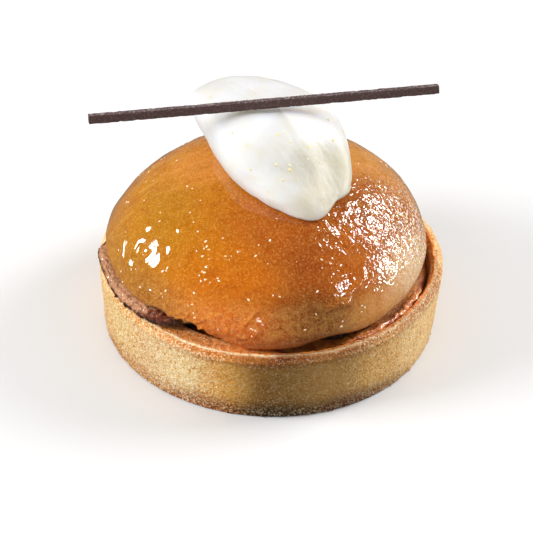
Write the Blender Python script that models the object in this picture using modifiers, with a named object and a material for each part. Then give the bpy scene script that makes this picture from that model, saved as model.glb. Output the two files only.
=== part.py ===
"""Small tarte tatin for one person.

A shortcrust ring with a floor holds caramel. On the caramel lies a browned layer of apple, which comes
out over the rim on the left. On that sits a glazed apple dome, which leans a little. A quenelle of
whipped cream lies across the top of the dome, and a chocolate stick lies across the cream.

Lengths are in millimetres and angles in degrees until a point goes into a mesh, which is in metres.
The origin is the centre of the shell's underside, +Z is up, and the front of the tart faces -Y.
"""

import math

import bmesh
import bpy
from mathutils import Matrix, Vector

MM = 0.001
GAP = 0.35  # between pieces that touch
MERGE = 0.00002  # metres, for points on the axis of a turned shape

SEGMENTS = 72  # around every round piece of the tart

# Shortcrust shell
SHELL_HEIGHT = 17.8
RIM_RADIUS = 40.6
RIM_WIDTH = 2.3
BASE_RADIUS = 39.6
BASE_ROUNDING = 0.3
WALL_FOOT_INNER_RADIUS = 36.0
LIP_SLOPE_RADIUS = 37.6
LIP_SLOPE_TOP = 16.5
FLOOR_THICKNESS = 3.2

# Caramel inside the shell
CARAMEL_TOP = 14.5
CARAMEL_CLIMB = 1.2  # how far it creeps up the wall
CARAMEL_FLAT_RADIUS = 33.0

# Apple dome: an ellipsoid that leans about the Y axis, right side up
DOME_CENTRE = Vector((-2.05, -0.8, 16.4))
DOME_HALF_WIDTH = 39.2
DOME_HALF_HEIGHT = 28.0
DOME_LEAN = 9.0
DOME_HEART = Vector((0.0, 0.0, 23.0))  # every point of the dome's skin is seen from here
DOME_RINGS_ABOVE = 13
ROLL_RINGS = 7  # where the skin turns under at the lower edge
UNDER_RINGS = 3
DOME_RINGS = DOME_RINGS_ABOVE + ROLL_RINGS + UNDER_RINGS
FRONT_EDGE_Z = 17.3
OVERHANG_EDGE_Z = 18.6
LAYER_EDGE_Z = 21.6
UNDER_CENTRE_Z = 17.8
FRONT_ROLL = 5.0
LEFT_ROLL = 0.8
OVERHANG_START = 118.0  # from here to the left end the dome reaches out over the rim
LEFT_END = 248.0
# Where the lower edge of the dome lifts between two apples: azimuth, half width, lift
LIP_NOTCHES = ((-69.0, 8.0, 2.3), (-114.0, 5.0, 2.2), (-30.0, 9.0, 0.7))

# Browned apple layer under the dome, which comes out over the rim between these azimuths
LAYER_OUT_START = 172.0
LAYER_OUT_END = 243.0
LAYER_FRONT_RADIUS = 33.3
LAYER_EDGE_RADIUS = 41.3
LAYER_EDGE_TAPER = 4.2
LAYER_EDGE_TAPER_ANGLE = 14.0
LAYER_BOTTOM = CARAMEL_TOP + GAP

# Cream quenelle: an egg with three soft sides, lying with its point to the front right and down
CREAM_CENTRE = Vector((1.0, -1.3, 47.65))
CREAM_TURN = -48.4
CREAM_DIP = 17.5
CREAM_HALF_LENGTH = 25.7
CREAM_HALF_WIDTH = 14.8
CREAM_HALF_HEIGHT = 12.2
CREAM_SIDEWAYS_BEND = -1.75
CREAM_DROOP = -3.4  # both ends sink towards the dome
CREAM_THREE_SIDES = 0.11
CREAM_SIDE_TURN = 29.5
CREAM_SEGMENTS = 46
CREAM_RINGS = 26

# Chocolate stick across the cream
STICK_LENGTH = 80.0
STICK_WIDTH = 2.0
STICK_BEVEL = 0.2
STICK_CENTRE = Vector((-2.1, -2.25, 60.5))
STICK_TURN = 12.2
STICK_ROLL = -16.0


def mix(low, high, share):
    """The value at a share of the way from low to high."""
    return low + (high - low) * share


def smooth_step(start, end, value):
    """0 before start, 1 after end, with a soft change between."""
    share = min(1.0, max(0.0, (value - start) / (end - start)))
    return share * share * (3.0 - 2.0 * share)


def bump(centre, half_width, angle):
    """A soft bump of height 1 around an azimuth, in degrees."""
    away = (angle - centre + 180.0) % 360.0 - 180.0
    return math.exp(-((away / half_width) ** 2))


def on_circle(radius, azimuth, height):
    """The point at a radius and azimuth about the tart's axis."""
    turn = math.radians(azimuth)
    return Vector((radius * math.cos(turn), radius * math.sin(turn), height))


def rim_bulge(azimuth):
    """How far the top of the baked wall stands out from a true circle."""
    waves = 0.16 * math.sin(math.radians(3.0 * azimuth + 40.0))
    waves += 0.10 * math.sin(math.radians(7.0 * azimuth + 120.0))
    return waves + 0.3 * bump(-14.0, 20.0, azimuth)


def rim_rise(azimuth):
    """How far the rim stands above its nominal height."""
    waves = 0.14 * math.sin(math.radians(4.0 * azimuth + 60.0))
    return waves + 0.08 * math.sin(math.radians(11.0 * azimuth))


def share_within(azimuth, start, end, blend):
    """1 between two azimuths counted from 0 to 360, 0 outside, with a soft change of a given width."""
    turn = azimuth % 360.0
    return smooth_step(0.0, blend, min(turn - start, end - turn))


def dome_hit(start, direction):
    """Distance from a point inside the plain ellipsoid to its skin, along a unit vector."""
    lean = Matrix.Rotation(math.radians(DOME_LEAN), 3, "Y")
    squash = Vector((1.0 / DOME_HALF_WIDTH, 1.0 / DOME_HALF_WIDTH, 1.0 / DOME_HALF_HEIGHT))
    begin = (lean @ (start - DOME_CENTRE)) * squash
    way = (lean @ direction) * squash
    across = begin.dot(way)
    ahead = way.dot(way)
    return (math.sqrt(across * across - ahead * (begin.dot(begin) - 1.0)) - across) / ahead


def dome_lumps(azimuth):
    """How far the flank of the dome stands out from the plain ellipsoid."""
    return 0.22 * math.sin(math.radians(3.0 * azimuth + 20.0)) + 0.14 * math.sin(math.radians(5.0 * azimuth))


def dome_reach(direction):
    """Distance from the dome's heart to its skin along a unit vector."""
    azimuth = math.degrees(math.atan2(direction.y, direction.x))
    return dome_hit(DOME_HEART, direction) + dome_lumps(azimuth) * direction.xy.length ** 3


def dome_radius(azimuth, height):
    """Radius of the dome's flank at an azimuth and a height below its heart."""
    return dome_hit(Vector((0.0, 0.0, height)), on_circle(1.0, azimuth, 0.0)) + dome_lumps(azimuth)


def dome_edge_z(azimuth):
    """Height of the dome's lower edge: low in front, on the rim at the back left, on the layer at the left."""
    front = FRONT_EDGE_Z + sum(lift * bump(at, width, azimuth) for at, width, lift in LIP_NOTCHES)
    rim = mix(front, OVERHANG_EDGE_Z, share_within(azimuth, OVERHANG_START, LEFT_END, 10.0))
    turn = azimuth % 360.0
    on_layer = smooth_step(LAYER_OUT_START - 12.0, LAYER_OUT_START + 10.0, turn)
    return mix(rim, LAYER_EDGE_Z, on_layer * smooth_step(0.0, 9.0, LEFT_END + 1.0 - turn))


def dome_roll(azimuth):
    """How far the dome's skin turns in at its lower edge."""
    return mix(FRONT_ROLL, LEFT_ROLL, share_within(azimuth, OVERHANG_START, LEFT_END, 10.0))


def dome_under_z(azimuth, share):
    """Height of the dome's underside at a share of the way from the axis to its edge."""
    return mix(UNDER_CENTRE_Z, dome_edge_z(azimuth), share)


def dome_outline(azimuth):
    """Radius and height of each ring of the dome, from its top to the middle of its underside."""
    rings = []
    for step in range(DOME_RINGS_ABOVE + 1):
        climb = 90.0 * (1.0 - step / DOME_RINGS_ABOVE)
        direction = on_circle(math.cos(math.radians(climb)), azimuth, math.sin(math.radians(climb)))
        point = DOME_HEART + direction * dome_reach(direction)
        rings.append((point.xy.length if step else 0.0, point.z))
    depth = DOME_HEART.z - dome_edge_z(azimuth)
    for step in range(1, ROLL_RINGS + 1):
        turn = math.radians(90.0 * step / ROLL_RINGS)
        height = DOME_HEART.z - depth * math.sin(turn)
        turned_in = dome_roll(azimuth) * (1.0 - math.cos(turn))
        rings.append((dome_radius(azimuth, height) - turned_in, height))
    foot = rings[-1][0]
    for step in range(1, UNDER_RINGS + 1):
        share = 1.0 - step / UNDER_RINGS
        rings.append((foot * share, dome_under_z(azimuth, share)))
    return rings


def layer_outline(azimuth):
    """Radius and height of each ring of the browned layer, from the middle of its top to its bottom."""
    inner = dome_outline(azimuth)[DOME_RINGS_ABOVE + ROLL_RINGS][0]
    turn = azimuth % 360.0
    over = smooth_step(0.0, 12.0, turn - LAYER_OUT_START) * smooth_step(0.0, 5.0, LAYER_OUT_END - turn)
    raised = share_within(azimuth, LAYER_OUT_START - 6.0, LAYER_OUT_END + 5.0, 6.0)
    past = max(0.0, LAYER_OUT_END - 4.0 - turn)
    left_edge = LAYER_EDGE_RADIUS - LAYER_EDGE_TAPER * math.exp(-past / LAYER_EDGE_TAPER_ANGLE)
    edge = mix(LAYER_FRONT_RADIUS, left_edge, over)
    top = dome_edge_z(azimuth) - GAP
    on_rim = SHELL_HEIGHT + rim_rise(azimuth) + GAP
    under = mix(LAYER_BOTTOM + 0.7, on_rim, raised)
    shoulder = min(inner - 0.4, edge - 0.8)
    return (
        (0.0, UNDER_CENTRE_Z - GAP),
        (shoulder * 0.5, dome_under_z(azimuth, 0.5 * shoulder / inner) - GAP),
        (shoulder, dome_under_z(azimuth, shoulder / inner) - GAP),
        (mix(shoulder, edge, 0.7), mix(top, top - 0.25, over)),
        (edge + 0.15, mix(under, top, 0.55)),
        (edge, under),
        (mix(LAYER_FRONT_RADIUS, 36.2, raised), mix(LAYER_BOTTOM + 0.4, on_rim, raised)),
        (CARAMEL_FLAT_RADIUS - 0.2, LAYER_BOTTOM),
        (CARAMEL_FLAT_RADIUS * 0.5, LAYER_BOTTOM),
        (0.0, LAYER_BOTTOM),
    )


def cream_profile(along):
    """Share of the full width at a place from -1, the round end, to 1, the point."""
    if along < 0.0:
        return (1.0 - abs(along) ** 1.5) ** 0.5
    return (1.0 - along ** 1.77) ** 0.87


def cream_relief(along, side):
    """How far the cream's skin stands out from the plain egg: the fold, the valley and its ridge."""
    fold_at = -0.42 + 0.0009 * (188.0 - side)
    behind = max(0.0, fold_at - along)
    fold = 1.5 * math.exp(-behind / 0.16) * smooth_step(0.0, 0.04, behind) * bump(155.0, 42.0, side)
    valley = 1.9 * bump(75.0 - 8.0 * along, 14.0, side) * smooth_step(0.05, 0.6, along)
    valley *= 1.0 - smooth_step(0.74, 0.93, along)
    ridge = 0.7 * bump(47.0, 13.0, side) * smooth_step(0.1, 0.6, along)
    return ridge - valley - fold


def cream_point(along, side):
    """A point on the cream's skin. Side is 0 at its right, 90 on top and 180 at its left."""
    dip = math.radians(CREAM_DIP)
    turn = math.radians(CREAM_TURN)
    length_way = Vector((math.cos(turn) * math.cos(dip), math.sin(turn) * math.cos(dip), -math.sin(dip)))
    width_way = Vector((-math.sin(turn), math.cos(turn), 0.0))
    height_way = length_way.cross(width_way)
    angle = math.radians(side)
    three_sides = 1.0 + CREAM_THREE_SIDES * math.cos(3.0 * (angle - math.radians(CREAM_SIDE_TURN)))
    share = cream_profile(along) * three_sides
    relief = cream_relief(along, side) * min(1.0, 2.5 * cream_profile(along))
    across = (share * CREAM_HALF_WIDTH + relief) * math.cos(angle) + CREAM_SIDEWAYS_BEND * along ** 2
    up = (share * CREAM_HALF_HEIGHT + relief) * math.sin(angle) + CREAM_DROOP * along ** 2
    point = CREAM_CENTRE + length_way * (along * CREAM_HALF_LENGTH)
    return point + width_way * across + height_way * up


def food_material(name, colour, roughness):
    """A plain material for one piece."""
    material = bpy.data.materials.new(name)
    material.use_nodes = True
    shader = material.node_tree.nodes["Principled BSDF"]
    shader.inputs["Base Color"].default_value = (*colour, 1.0)
    shader.inputs["Roughness"].default_value = roughness
    shader.inputs["Metallic"].default_value = 0.0
    return material


def place(name, mesh, collection, material):
    """An object for a finished mesh, shaded smooth."""
    mesh.materials.clear()
    mesh.materials.append(material)
    mesh.shade_smooth()
    mesh.set_sharp_from_angle(angle=math.radians(40.0))
    piece = bpy.data.objects.new(name, mesh)
    collection.objects.link(piece)
    return piece


def turned_mesh(name, profile, collection):
    """The mesh of a profile of radii and heights turned about the Z axis."""
    outline = bpy.data.meshes.new(name + "_profile")
    points = [(radius * MM, 0.0, height * MM) for radius, height in profile]
    edges = [(index, index + 1) for index in range(len(points) - 1)]
    outline.from_pydata(points, edges, [])
    guide = bpy.data.objects.new(name + "_profile", outline)
    collection.objects.link(guide)
    screw = guide.modifiers.new("Turn", "SCREW")
    screw.axis = "Z"
    screw.steps = SEGMENTS
    screw.render_steps = SEGMENTS
    screw.use_merge_vertices = True
    screw.merge_threshold = MERGE
    evaluated = guide.evaluated_get(bpy.context.evaluated_depsgraph_get())
    mesh = bpy.data.meshes.new_from_object(evaluated)
    mesh.name = name
    bpy.data.objects.remove(guide)
    bpy.data.meshes.remove(outline)
    return mesh


def follow_baked_wall(mesh):
    """Give a turned mesh the uneven wall and rim of the baked shell."""
    for vertex in mesh.vertices:
        point = vertex.co / MM
        azimuth = math.degrees(math.atan2(point.y, point.x))
        height_share = min(1.0, point.z / SHELL_HEIGHT)
        near_wall = smooth_step(25.0, 36.0, point.xy.length)
        out = rim_bulge(azimuth) * height_share ** 2 * near_wall
        rise = rim_rise(azimuth) * smooth_step(0.85, 1.0, height_share)
        moved = on_circle(point.xy.length + out, azimuth, point.z + rise)
        vertex.co = moved * MM


def ringed_mesh(name, outline_at, rings):
    """The mesh of a closed round body whose outline differs at each azimuth, from a sphere's rings."""
    form = bmesh.new()
    bmesh.ops.create_uvsphere(form, u_segments=SEGMENTS, v_segments=rings, radius=1.0)
    outlines = {}
    for vertex in form.verts:
        azimuth = round(math.degrees(math.atan2(vertex.co.y, vertex.co.x)), 3)
        if azimuth not in outlines:
            outlines[azimuth] = outline_at(azimuth)
        down = math.degrees(math.acos(max(-1.0, min(1.0, vertex.co.z))))
        radius, height = outlines[azimuth][round(down * rings / 180.0)]
        vertex.co = on_circle(radius, azimuth, height) * MM
    mesh = bpy.data.meshes.new(name)
    form.to_mesh(mesh)
    form.free()
    return mesh


def make_shell(collection):
    """The shortcrust ring with its floor."""
    profile = (
        (0.0, FLOOR_THICKNESS),
        (WALL_FOOT_INNER_RADIUS, FLOOR_THICKNESS),
        (WALL_FOOT_INNER_RADIUS + 0.6, FLOOR_THICKNESS + 2.8),
        (LIP_SLOPE_RADIUS, LIP_SLOPE_TOP),
        (RIM_RADIUS - RIM_WIDTH, SHELL_HEIGHT - 0.2),
        (RIM_RADIUS - RIM_WIDTH * 0.6, SHELL_HEIGHT),
        (RIM_RADIUS - RIM_WIDTH * 0.25, SHELL_HEIGHT - 0.35),
        (RIM_RADIUS, SHELL_HEIGHT - 1.5),
        (mix(BASE_RADIUS, RIM_RADIUS, 0.55), SHELL_HEIGHT * 0.5),
        (BASE_RADIUS, BASE_ROUNDING),
        (BASE_RADIUS - BASE_ROUNDING, 0.0),
        (0.0, 0.0),
    )
    mesh = turned_mesh("tart_shell", profile, collection)
    follow_baked_wall(mesh)
    place("tart_shell", mesh, collection, food_material("shortcrust", (0.66, 0.43, 0.17), 0.75))


def make_filling(collection):
    """The caramel that fills the shell and creeps up its wall."""
    wall_lean = (LIP_SLOPE_RADIUS - WALL_FOOT_INNER_RADIUS - 0.6) / (LIP_SLOPE_TOP - FLOOR_THICKNESS - 2.8)
    climb_top = CARAMEL_TOP + CARAMEL_CLIMB
    wall_radius = LIP_SLOPE_RADIUS - (LIP_SLOPE_TOP - climb_top) * wall_lean
    profile = (
        (0.0, CARAMEL_TOP),
        (CARAMEL_FLAT_RADIUS, CARAMEL_TOP),
        (mix(CARAMEL_FLAT_RADIUS, wall_radius, 0.6), CARAMEL_TOP + 0.3 * CARAMEL_CLIMB),
        (wall_radius - GAP, climb_top),
        (WALL_FOOT_INNER_RADIUS + 0.5 - GAP, FLOOR_THICKNESS + 2.8),
        (WALL_FOOT_INNER_RADIUS - GAP, FLOOR_THICKNESS + GAP),
        (0.0, FLOOR_THICKNESS + GAP),
    )
    mesh = turned_mesh("caramel_filling", profile, collection)
    follow_baked_wall(mesh)
    place("caramel_filling", mesh, collection, food_material("caramel", (0.30, 0.09, 0.015), 0.2))


def make_layer(collection):
    """The browned apple layer under the dome."""
    mesh = ringed_mesh("browned_apple_layer", layer_outline, len(layer_outline(0.0)) - 1)
    material = food_material("browned_apple", (0.24, 0.07, 0.03), 0.35)
    place("browned_apple_layer", mesh, collection, material)


def make_dome(collection):
    """The glazed apple dome."""
    mesh = ringed_mesh("apple_dome", dome_outline, DOME_RINGS)
    place("apple_dome", mesh, collection, food_material("glazed_apple", (0.62, 0.24, 0.03), 0.12))


def grown_dome_outline(azimuth):
    """The dome's outline grown upwards and outwards by the gap."""
    rings = dome_outline(azimuth)
    return [(radius + GAP if radius else 0.0, height + GAP) for radius, height in rings]


def make_cream_cutter(collection):
    """The dome grown by the gap, which cuts the cream's underside."""
    mesh = ringed_mesh("dome_cutter", grown_dome_outline, DOME_RINGS)
    cutter = bpy.data.objects.new("dome_cutter", mesh)
    collection.objects.link(cutter)
    cutter.hide_render = True
    cutter.display_type = "WIRE"
    return cutter


def make_cream(collection, cutter):
    """The quenelle, cut to the dome below and pressed flat where the stick lies on it."""
    form = bmesh.new()
    bmesh.ops.create_uvsphere(form, u_segments=CREAM_SEGMENTS, v_segments=CREAM_RINGS, radius=1.0)
    roll = math.radians(STICK_ROLL)
    stick_seat = STICK_CENTRE.z - STICK_WIDTH * 0.5 * (math.cos(roll) + abs(math.sin(roll))) - GAP
    for vertex in form.verts:
        side = math.degrees(math.atan2(vertex.co.y, vertex.co.x)) % 360.0
        point = cream_point(max(-1.0, min(1.0, vertex.co.z)), side)
        point.z = min(point.z, stick_seat)
        vertex.co = point * MM
    mesh = bpy.data.meshes.new("cream_quenelle")
    form.to_mesh(mesh)
    form.free()
    cream = place("cream_quenelle", mesh, collection, food_material("whipped_cream", (0.93, 0.92, 0.86), 0.5))
    underside = cream.modifiers.new("Underside", "BOOLEAN")
    underside.operation = "DIFFERENCE"
    underside.object = cutter


def make_stick(collection):
    """The square chocolate stick."""
    mesh = bpy.data.meshes.new("chocolate_stick")
    form = bmesh.new()
    bmesh.ops.create_cube(form, size=1.0)
    size = Vector((STICK_LENGTH, STICK_WIDTH, STICK_WIDTH)) * MM
    bmesh.ops.scale(form, vec=size, verts=form.verts)
    form.to_mesh(mesh)
    form.free()
    stick = place("chocolate_stick", mesh, collection, food_material("chocolate", (0.07, 0.035, 0.027), 0.5))
    stick.location = STICK_CENTRE * MM
    stick.rotation_euler = (math.radians(STICK_ROLL), 0.0, math.radians(STICK_TURN))
    edge = stick.modifiers.new("Worn edges", "BEVEL")
    edge.width = STICK_BEVEL * MM
    edge.segments = 2


def main():
    """Build every piece of the tart."""
    for leftover in list(bpy.data.objects):
        bpy.data.objects.remove(leftover)
    collection = bpy.data.collections.new("tarte_tatin")
    cutters = bpy.data.collections.new("tarte_tatin_cutters")
    bpy.context.scene.collection.children.link(collection)
    bpy.context.scene.collection.children.link(cutters)
    make_shell(collection)
    make_filling(collection)
    make_layer(collection)
    make_dome(collection)
    make_cream(collection, make_cream_cutter(cutters))
    make_stick(collection)


main()
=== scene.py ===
"""A tarte tatin for one person, dressed over its solids.

Every sub-assembly is a class that holds its sizes in millimetres and makes its own meshes and finishes. The fine
skins are cast from inside each solid onto its outside, then kneaded by a few hundredths or tenths of a millimetre.
"""
import logging
import math
from dataclasses import dataclass, field
from enum import Enum

import bmesh
import bpy
import numpy as np
from mathutils import Matrix, Vector
from mathutils.bvhtree import BVHTree


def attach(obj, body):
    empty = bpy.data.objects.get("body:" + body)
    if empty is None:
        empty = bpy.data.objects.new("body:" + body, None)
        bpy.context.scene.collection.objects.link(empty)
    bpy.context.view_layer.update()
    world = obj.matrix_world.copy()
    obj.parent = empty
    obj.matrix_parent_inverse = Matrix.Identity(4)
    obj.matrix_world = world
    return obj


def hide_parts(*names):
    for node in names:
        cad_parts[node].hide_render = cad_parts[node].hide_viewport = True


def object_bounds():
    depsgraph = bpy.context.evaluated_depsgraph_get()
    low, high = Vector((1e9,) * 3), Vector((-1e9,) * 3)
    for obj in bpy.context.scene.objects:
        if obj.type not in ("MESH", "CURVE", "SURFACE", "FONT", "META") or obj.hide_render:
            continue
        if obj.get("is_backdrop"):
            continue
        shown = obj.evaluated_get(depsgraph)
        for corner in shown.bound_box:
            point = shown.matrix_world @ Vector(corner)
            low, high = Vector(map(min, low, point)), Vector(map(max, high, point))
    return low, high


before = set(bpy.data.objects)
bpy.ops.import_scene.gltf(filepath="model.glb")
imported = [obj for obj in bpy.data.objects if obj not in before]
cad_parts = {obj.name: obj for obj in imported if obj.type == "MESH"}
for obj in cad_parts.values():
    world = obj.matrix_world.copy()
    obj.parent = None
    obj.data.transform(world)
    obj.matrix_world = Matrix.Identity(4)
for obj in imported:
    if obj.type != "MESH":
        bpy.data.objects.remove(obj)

MM = 0.001
BODY = "root"
log = logging.getLogger("tarte_tatin")


class Blending(Enum):
    """How one colour is laid over another."""

    MIX = "MIX"
    MULTIPLY = "MULTIPLY"
    SCREEN = "SCREEN"
    OVERLAY = "OVERLAY"


class Slot(Enum):
    """The record's finishes that a piece can take."""

    SHORTCRUST = "shortcrust"
    CARAMEL = "caramel"
    BROWNED = "browned_apple"
    GLAZED = "glazed_apple"
    CREAM = "whipped_cream"
    CHOCOLATE = "chocolate"


def shade(red: float, green: float, blue: float) -> tuple[float, float, float, float]:
    """A colour from its screen values of 0 to 255, in the linear values that materials take.

    Args:
        red: red on screen.
        green: green on screen.
        blue: blue on screen.

    Returns:
        Linear red, green and blue, and a full alpha.
    """
    parts = [v / 255 for v in (red, green, blue)]
    return tuple(p / 12.92 if p <= 0.04045 else ((p + 0.055) / 1.055) ** 2.4 for p in parts) + (1.0,)


def smooth_step(low: float, high: float, value: np.ndarray) -> np.ndarray:
    """A soft step from 0 at low to 1 at high.

    Args:
        low: value where the step starts.
        high: value where it ends; it may be below low.
        value: the values to judge.

    Returns:
        Shares from 0 to 1.
    """
    share = np.clip((value - low) / (high - low), 0, 1)
    return share * share * (3 - 2 * share)


def turn_between(angle: np.ndarray, other: float) -> np.ndarray:
    """The signed turn in degrees from another angle to this one, within half a turn."""
    return (angle - other + 180) % 360 - 180


@dataclass(frozen=True)
class Unevenness:
    """Hills and hollows in space that are the same on every run."""

    seed: int

    def _mixed(self, cells: np.ndarray, salt: int) -> np.ndarray:
        """A fixed number from 0 to 1 for each cell.

        Args:
            cells: whole-number cell places, three to a row.
            salt: which of several numbers is wanted.

        Returns:
            One number for each cell.
        """
        c = cells.astype(np.int64)
        h = (c[..., 0] * 73856093) ^ (c[..., 1] * 19349663) ^ (c[..., 2] * 83492791) ^ ((self.seed * 31 + salt) * 97531)
        h = (h * 1103515245 + 12345) & 0x7FFFFFFF
        h = ((h >> 11) ^ h) * 48271 & 0x7FFFFFFF
        h = ((h >> 15) ^ h) * 69621 & 0x7FFFFFFF
        return h / 0x7FFFFFFF

    def hills(self, points: np.ndarray, size: float, octaves: int = 1) -> np.ndarray:
        """Soft hills and hollows, from about -1 to 1.

        Args:
            points: places in millimetres, three to a row.
            size: width of a hill in millimetres.
            octaves: how many ever finer layers are added.

        Returns:
            One height for each point.
        """
        total = np.zeros(points.shape[:-1])
        weight, whole = 1.0, 0.0
        for octave in range(octaves):
            spot = points / size * 2**octave + 17.3 * octave
            cell = np.floor(spot)
            part = spot - cell
            ease = part**3 * (part * (part * 6 - 15) + 10)
            layer = np.zeros_like(total)
            for corner in range(8):
                step = np.array([corner & 1, corner >> 1 & 1, corner >> 2 & 1])
                lean = np.stack([self._mixed(cell + step, k) for k in range(3)], -1) * 2 - 1
                near = np.prod(np.where(step == 1, ease, 1 - ease), -1)
                layer += near * ((part - step) * lean).sum(-1)
            total += layer * weight * 1.9
            whole += weight
            weight *= 0.5
        return total / whole

    def ridges(self, points: np.ndarray, size: float, octaves: int = 1) -> np.ndarray:
        """Thin winding ridges of height 1 with flat ground between them.

        Args:
            points: places in millimetres, three to a row.
            size: spacing of the ridges in millimetres.
            octaves: how many ever finer layers are added.

        Returns:
            One height from 0 to 1 for each point.
        """
        return np.clip(1 - np.abs(self.hills(points, size, octaves)) * 3.2, 0, 1) ** 1.6

    def grains(self, points: np.ndarray, size: float) -> np.ndarray:
        """Packed round grains: 1 at the middle of a grain and 0 between grains.

        Args:
            points: places in millimetres, three to a row.
            size: width of a grain in millimetres.

        Returns:
            One height from 0 to 1 for each point.
        """
        spot = points / size
        cell = np.floor(spot)
        best = np.full(points.shape[:-1], 9.0)
        for near in range(27):
            step = np.array([near % 3, near // 3 % 3, near // 9]) - 1
            other = cell + step
            middle = other + np.stack([self._mixed(other, k + 5) for k in range(3)], -1)
            best = np.minimum(best, ((middle - spot) ** 2).sum(-1))
        return np.clip(1 - np.sqrt(best) * 1.25, 0, 1)


class Bench:
    """Places and joins the nodes of one tree with short calls."""

    def __init__(self, tree: bpy.types.NodeTree) -> None:
        """Works on a node tree."""
        self.tree = tree

    def feed(self, socket: bpy.types.NodeSocket, value: object) -> None:
        """Joins or sets one input.

        Args:
            socket: the input.
            value: another node's output, or a plain value.
        """
        if isinstance(value, bpy.types.NodeSocket):
            self.tree.links.new(value, socket)
        else:
            socket.default_value = value

    def add(self, kind: str, inputs: dict | None = None, **settings: object) -> bpy.types.Node:
        """Adds a node.

        Args:
            kind: the node's type name.
            inputs: what each input gets, by name or number.
            **settings: the node's own settings.

        Returns:
            The node.
        """
        node = self.tree.nodes.new(kind)
        for name, value in settings.items():
            setattr(node, name, value)
        for key, value in (inputs or {}).items():
            self.feed(node.inputs[key], value)
        return node

    def millimetres(self) -> bpy.types.NodeSocket:
        """The place on the piece in millimetres."""
        place = self.add("ShaderNodeTexCoord").outputs["Object"]
        return self.add("ShaderNodeMapping", {"Vector": place, "Scale": (1000, 1000, 1000)}).outputs[0]

    def stretched(self, vector: bpy.types.NodeSocket, scale: tuple) -> bpy.types.NodeSocket:
        """The same place with each axis drawn out or pressed together."""
        return self.add("ShaderNodeMapping", {"Vector": vector, "Scale": scale}).outputs[0]

    def noise(self, vector: object, size: float, detail: float = 2, wander: float = 0) -> bpy.types.NodeSocket:
        """Cloudy noise from 0 to 1.

        Args:
            vector: the place in millimetres.
            size: width of a cloud in millimetres.
            detail: how many finer layers.
            wander: how far the clouds are pulled about.

        Returns:
            The noise's value.
        """
        wanted = {"Vector": vector, "Scale": 1 / size, "Detail": detail, "Distortion": wander}
        return self.add("ShaderNodeTexNoise", wanted).outputs[0]

    def grains(self, vector: object, size: float) -> bpy.types.NodeSocket:
        """Distance from the middle of the nearest grain, for grains of a size in millimetres."""
        return self.add("ShaderNodeTexVoronoi", {"Vector": vector, "Scale": 1 / size}).outputs["Distance"]

    def step(self, value: object, low: float, high: float, least: float = 0, most: float = 1) -> bpy.types.NodeSocket:
        """A soft step.

        Args:
            value: what is judged.
            low: where the step starts.
            high: where it ends.
            least: what comes out before it.
            most: what comes out after it.

        Returns:
            The step's value.
        """
        wanted = {"Value": value, "From Min": low, "From Max": high, "To Min": least, "To Max": most}
        return self.add("ShaderNodeMapRange", wanted, interpolation_type="SMOOTHSTEP").outputs[0]

    def sum(self, kind: str, first: object, second: object = 0.0) -> bpy.types.NodeSocket:
        """One step of arithmetic, such as ADD, MULTIPLY or SUBTRACT."""
        return self.add("ShaderNodeMath", {0: first, 1: second}, operation=kind).outputs[0]

    def lay(self, share: object, under: object, over: object, how: Blending = Blending.MIX) -> bpy.types.NodeSocket:
        """Lays one colour over another.

        Args:
            share: how much of the upper colour comes through.
            under: the lower colour.
            over: the upper colour.
            how: the way that they mix.

        Returns:
            The mixed colour.
        """
        wanted = {0: share, 6: under, 7: over}
        return self.add("ShaderNodeMix", wanted, data_type="RGBA", blend_type=how.value).outputs[2]

    def mark(self, name: str) -> bpy.types.NodeSocket:
        """A value that the mesh carries at its points."""
        return self.add("ShaderNodeAttribute", attribute_name=name).outputs["Fac"]

    def dye(self, name: str) -> bpy.types.NodeSocket:
        """A colour that the mesh carries at its points."""
        return self.add("ShaderNodeAttribute", attribute_name=name).outputs["Color"]

    def bump(self, height: object, depth: float, over: object = None) -> bpy.types.NodeSocket:
        """Relief of a depth in millimetres.

        Args:
            height: the relief's height from 0 to 1.
            depth: how deep it is.
            over: the normal of a coarser relief below it.

        Returns:
            The changed normal.
        """
        wanted = {"Height": height, "Distance": depth * MM, "Strength": 1.0}
        if over is not None:
            wanted["Normal"] = over
        return self.add("ShaderNodeBump", wanted).outputs[0]


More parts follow.
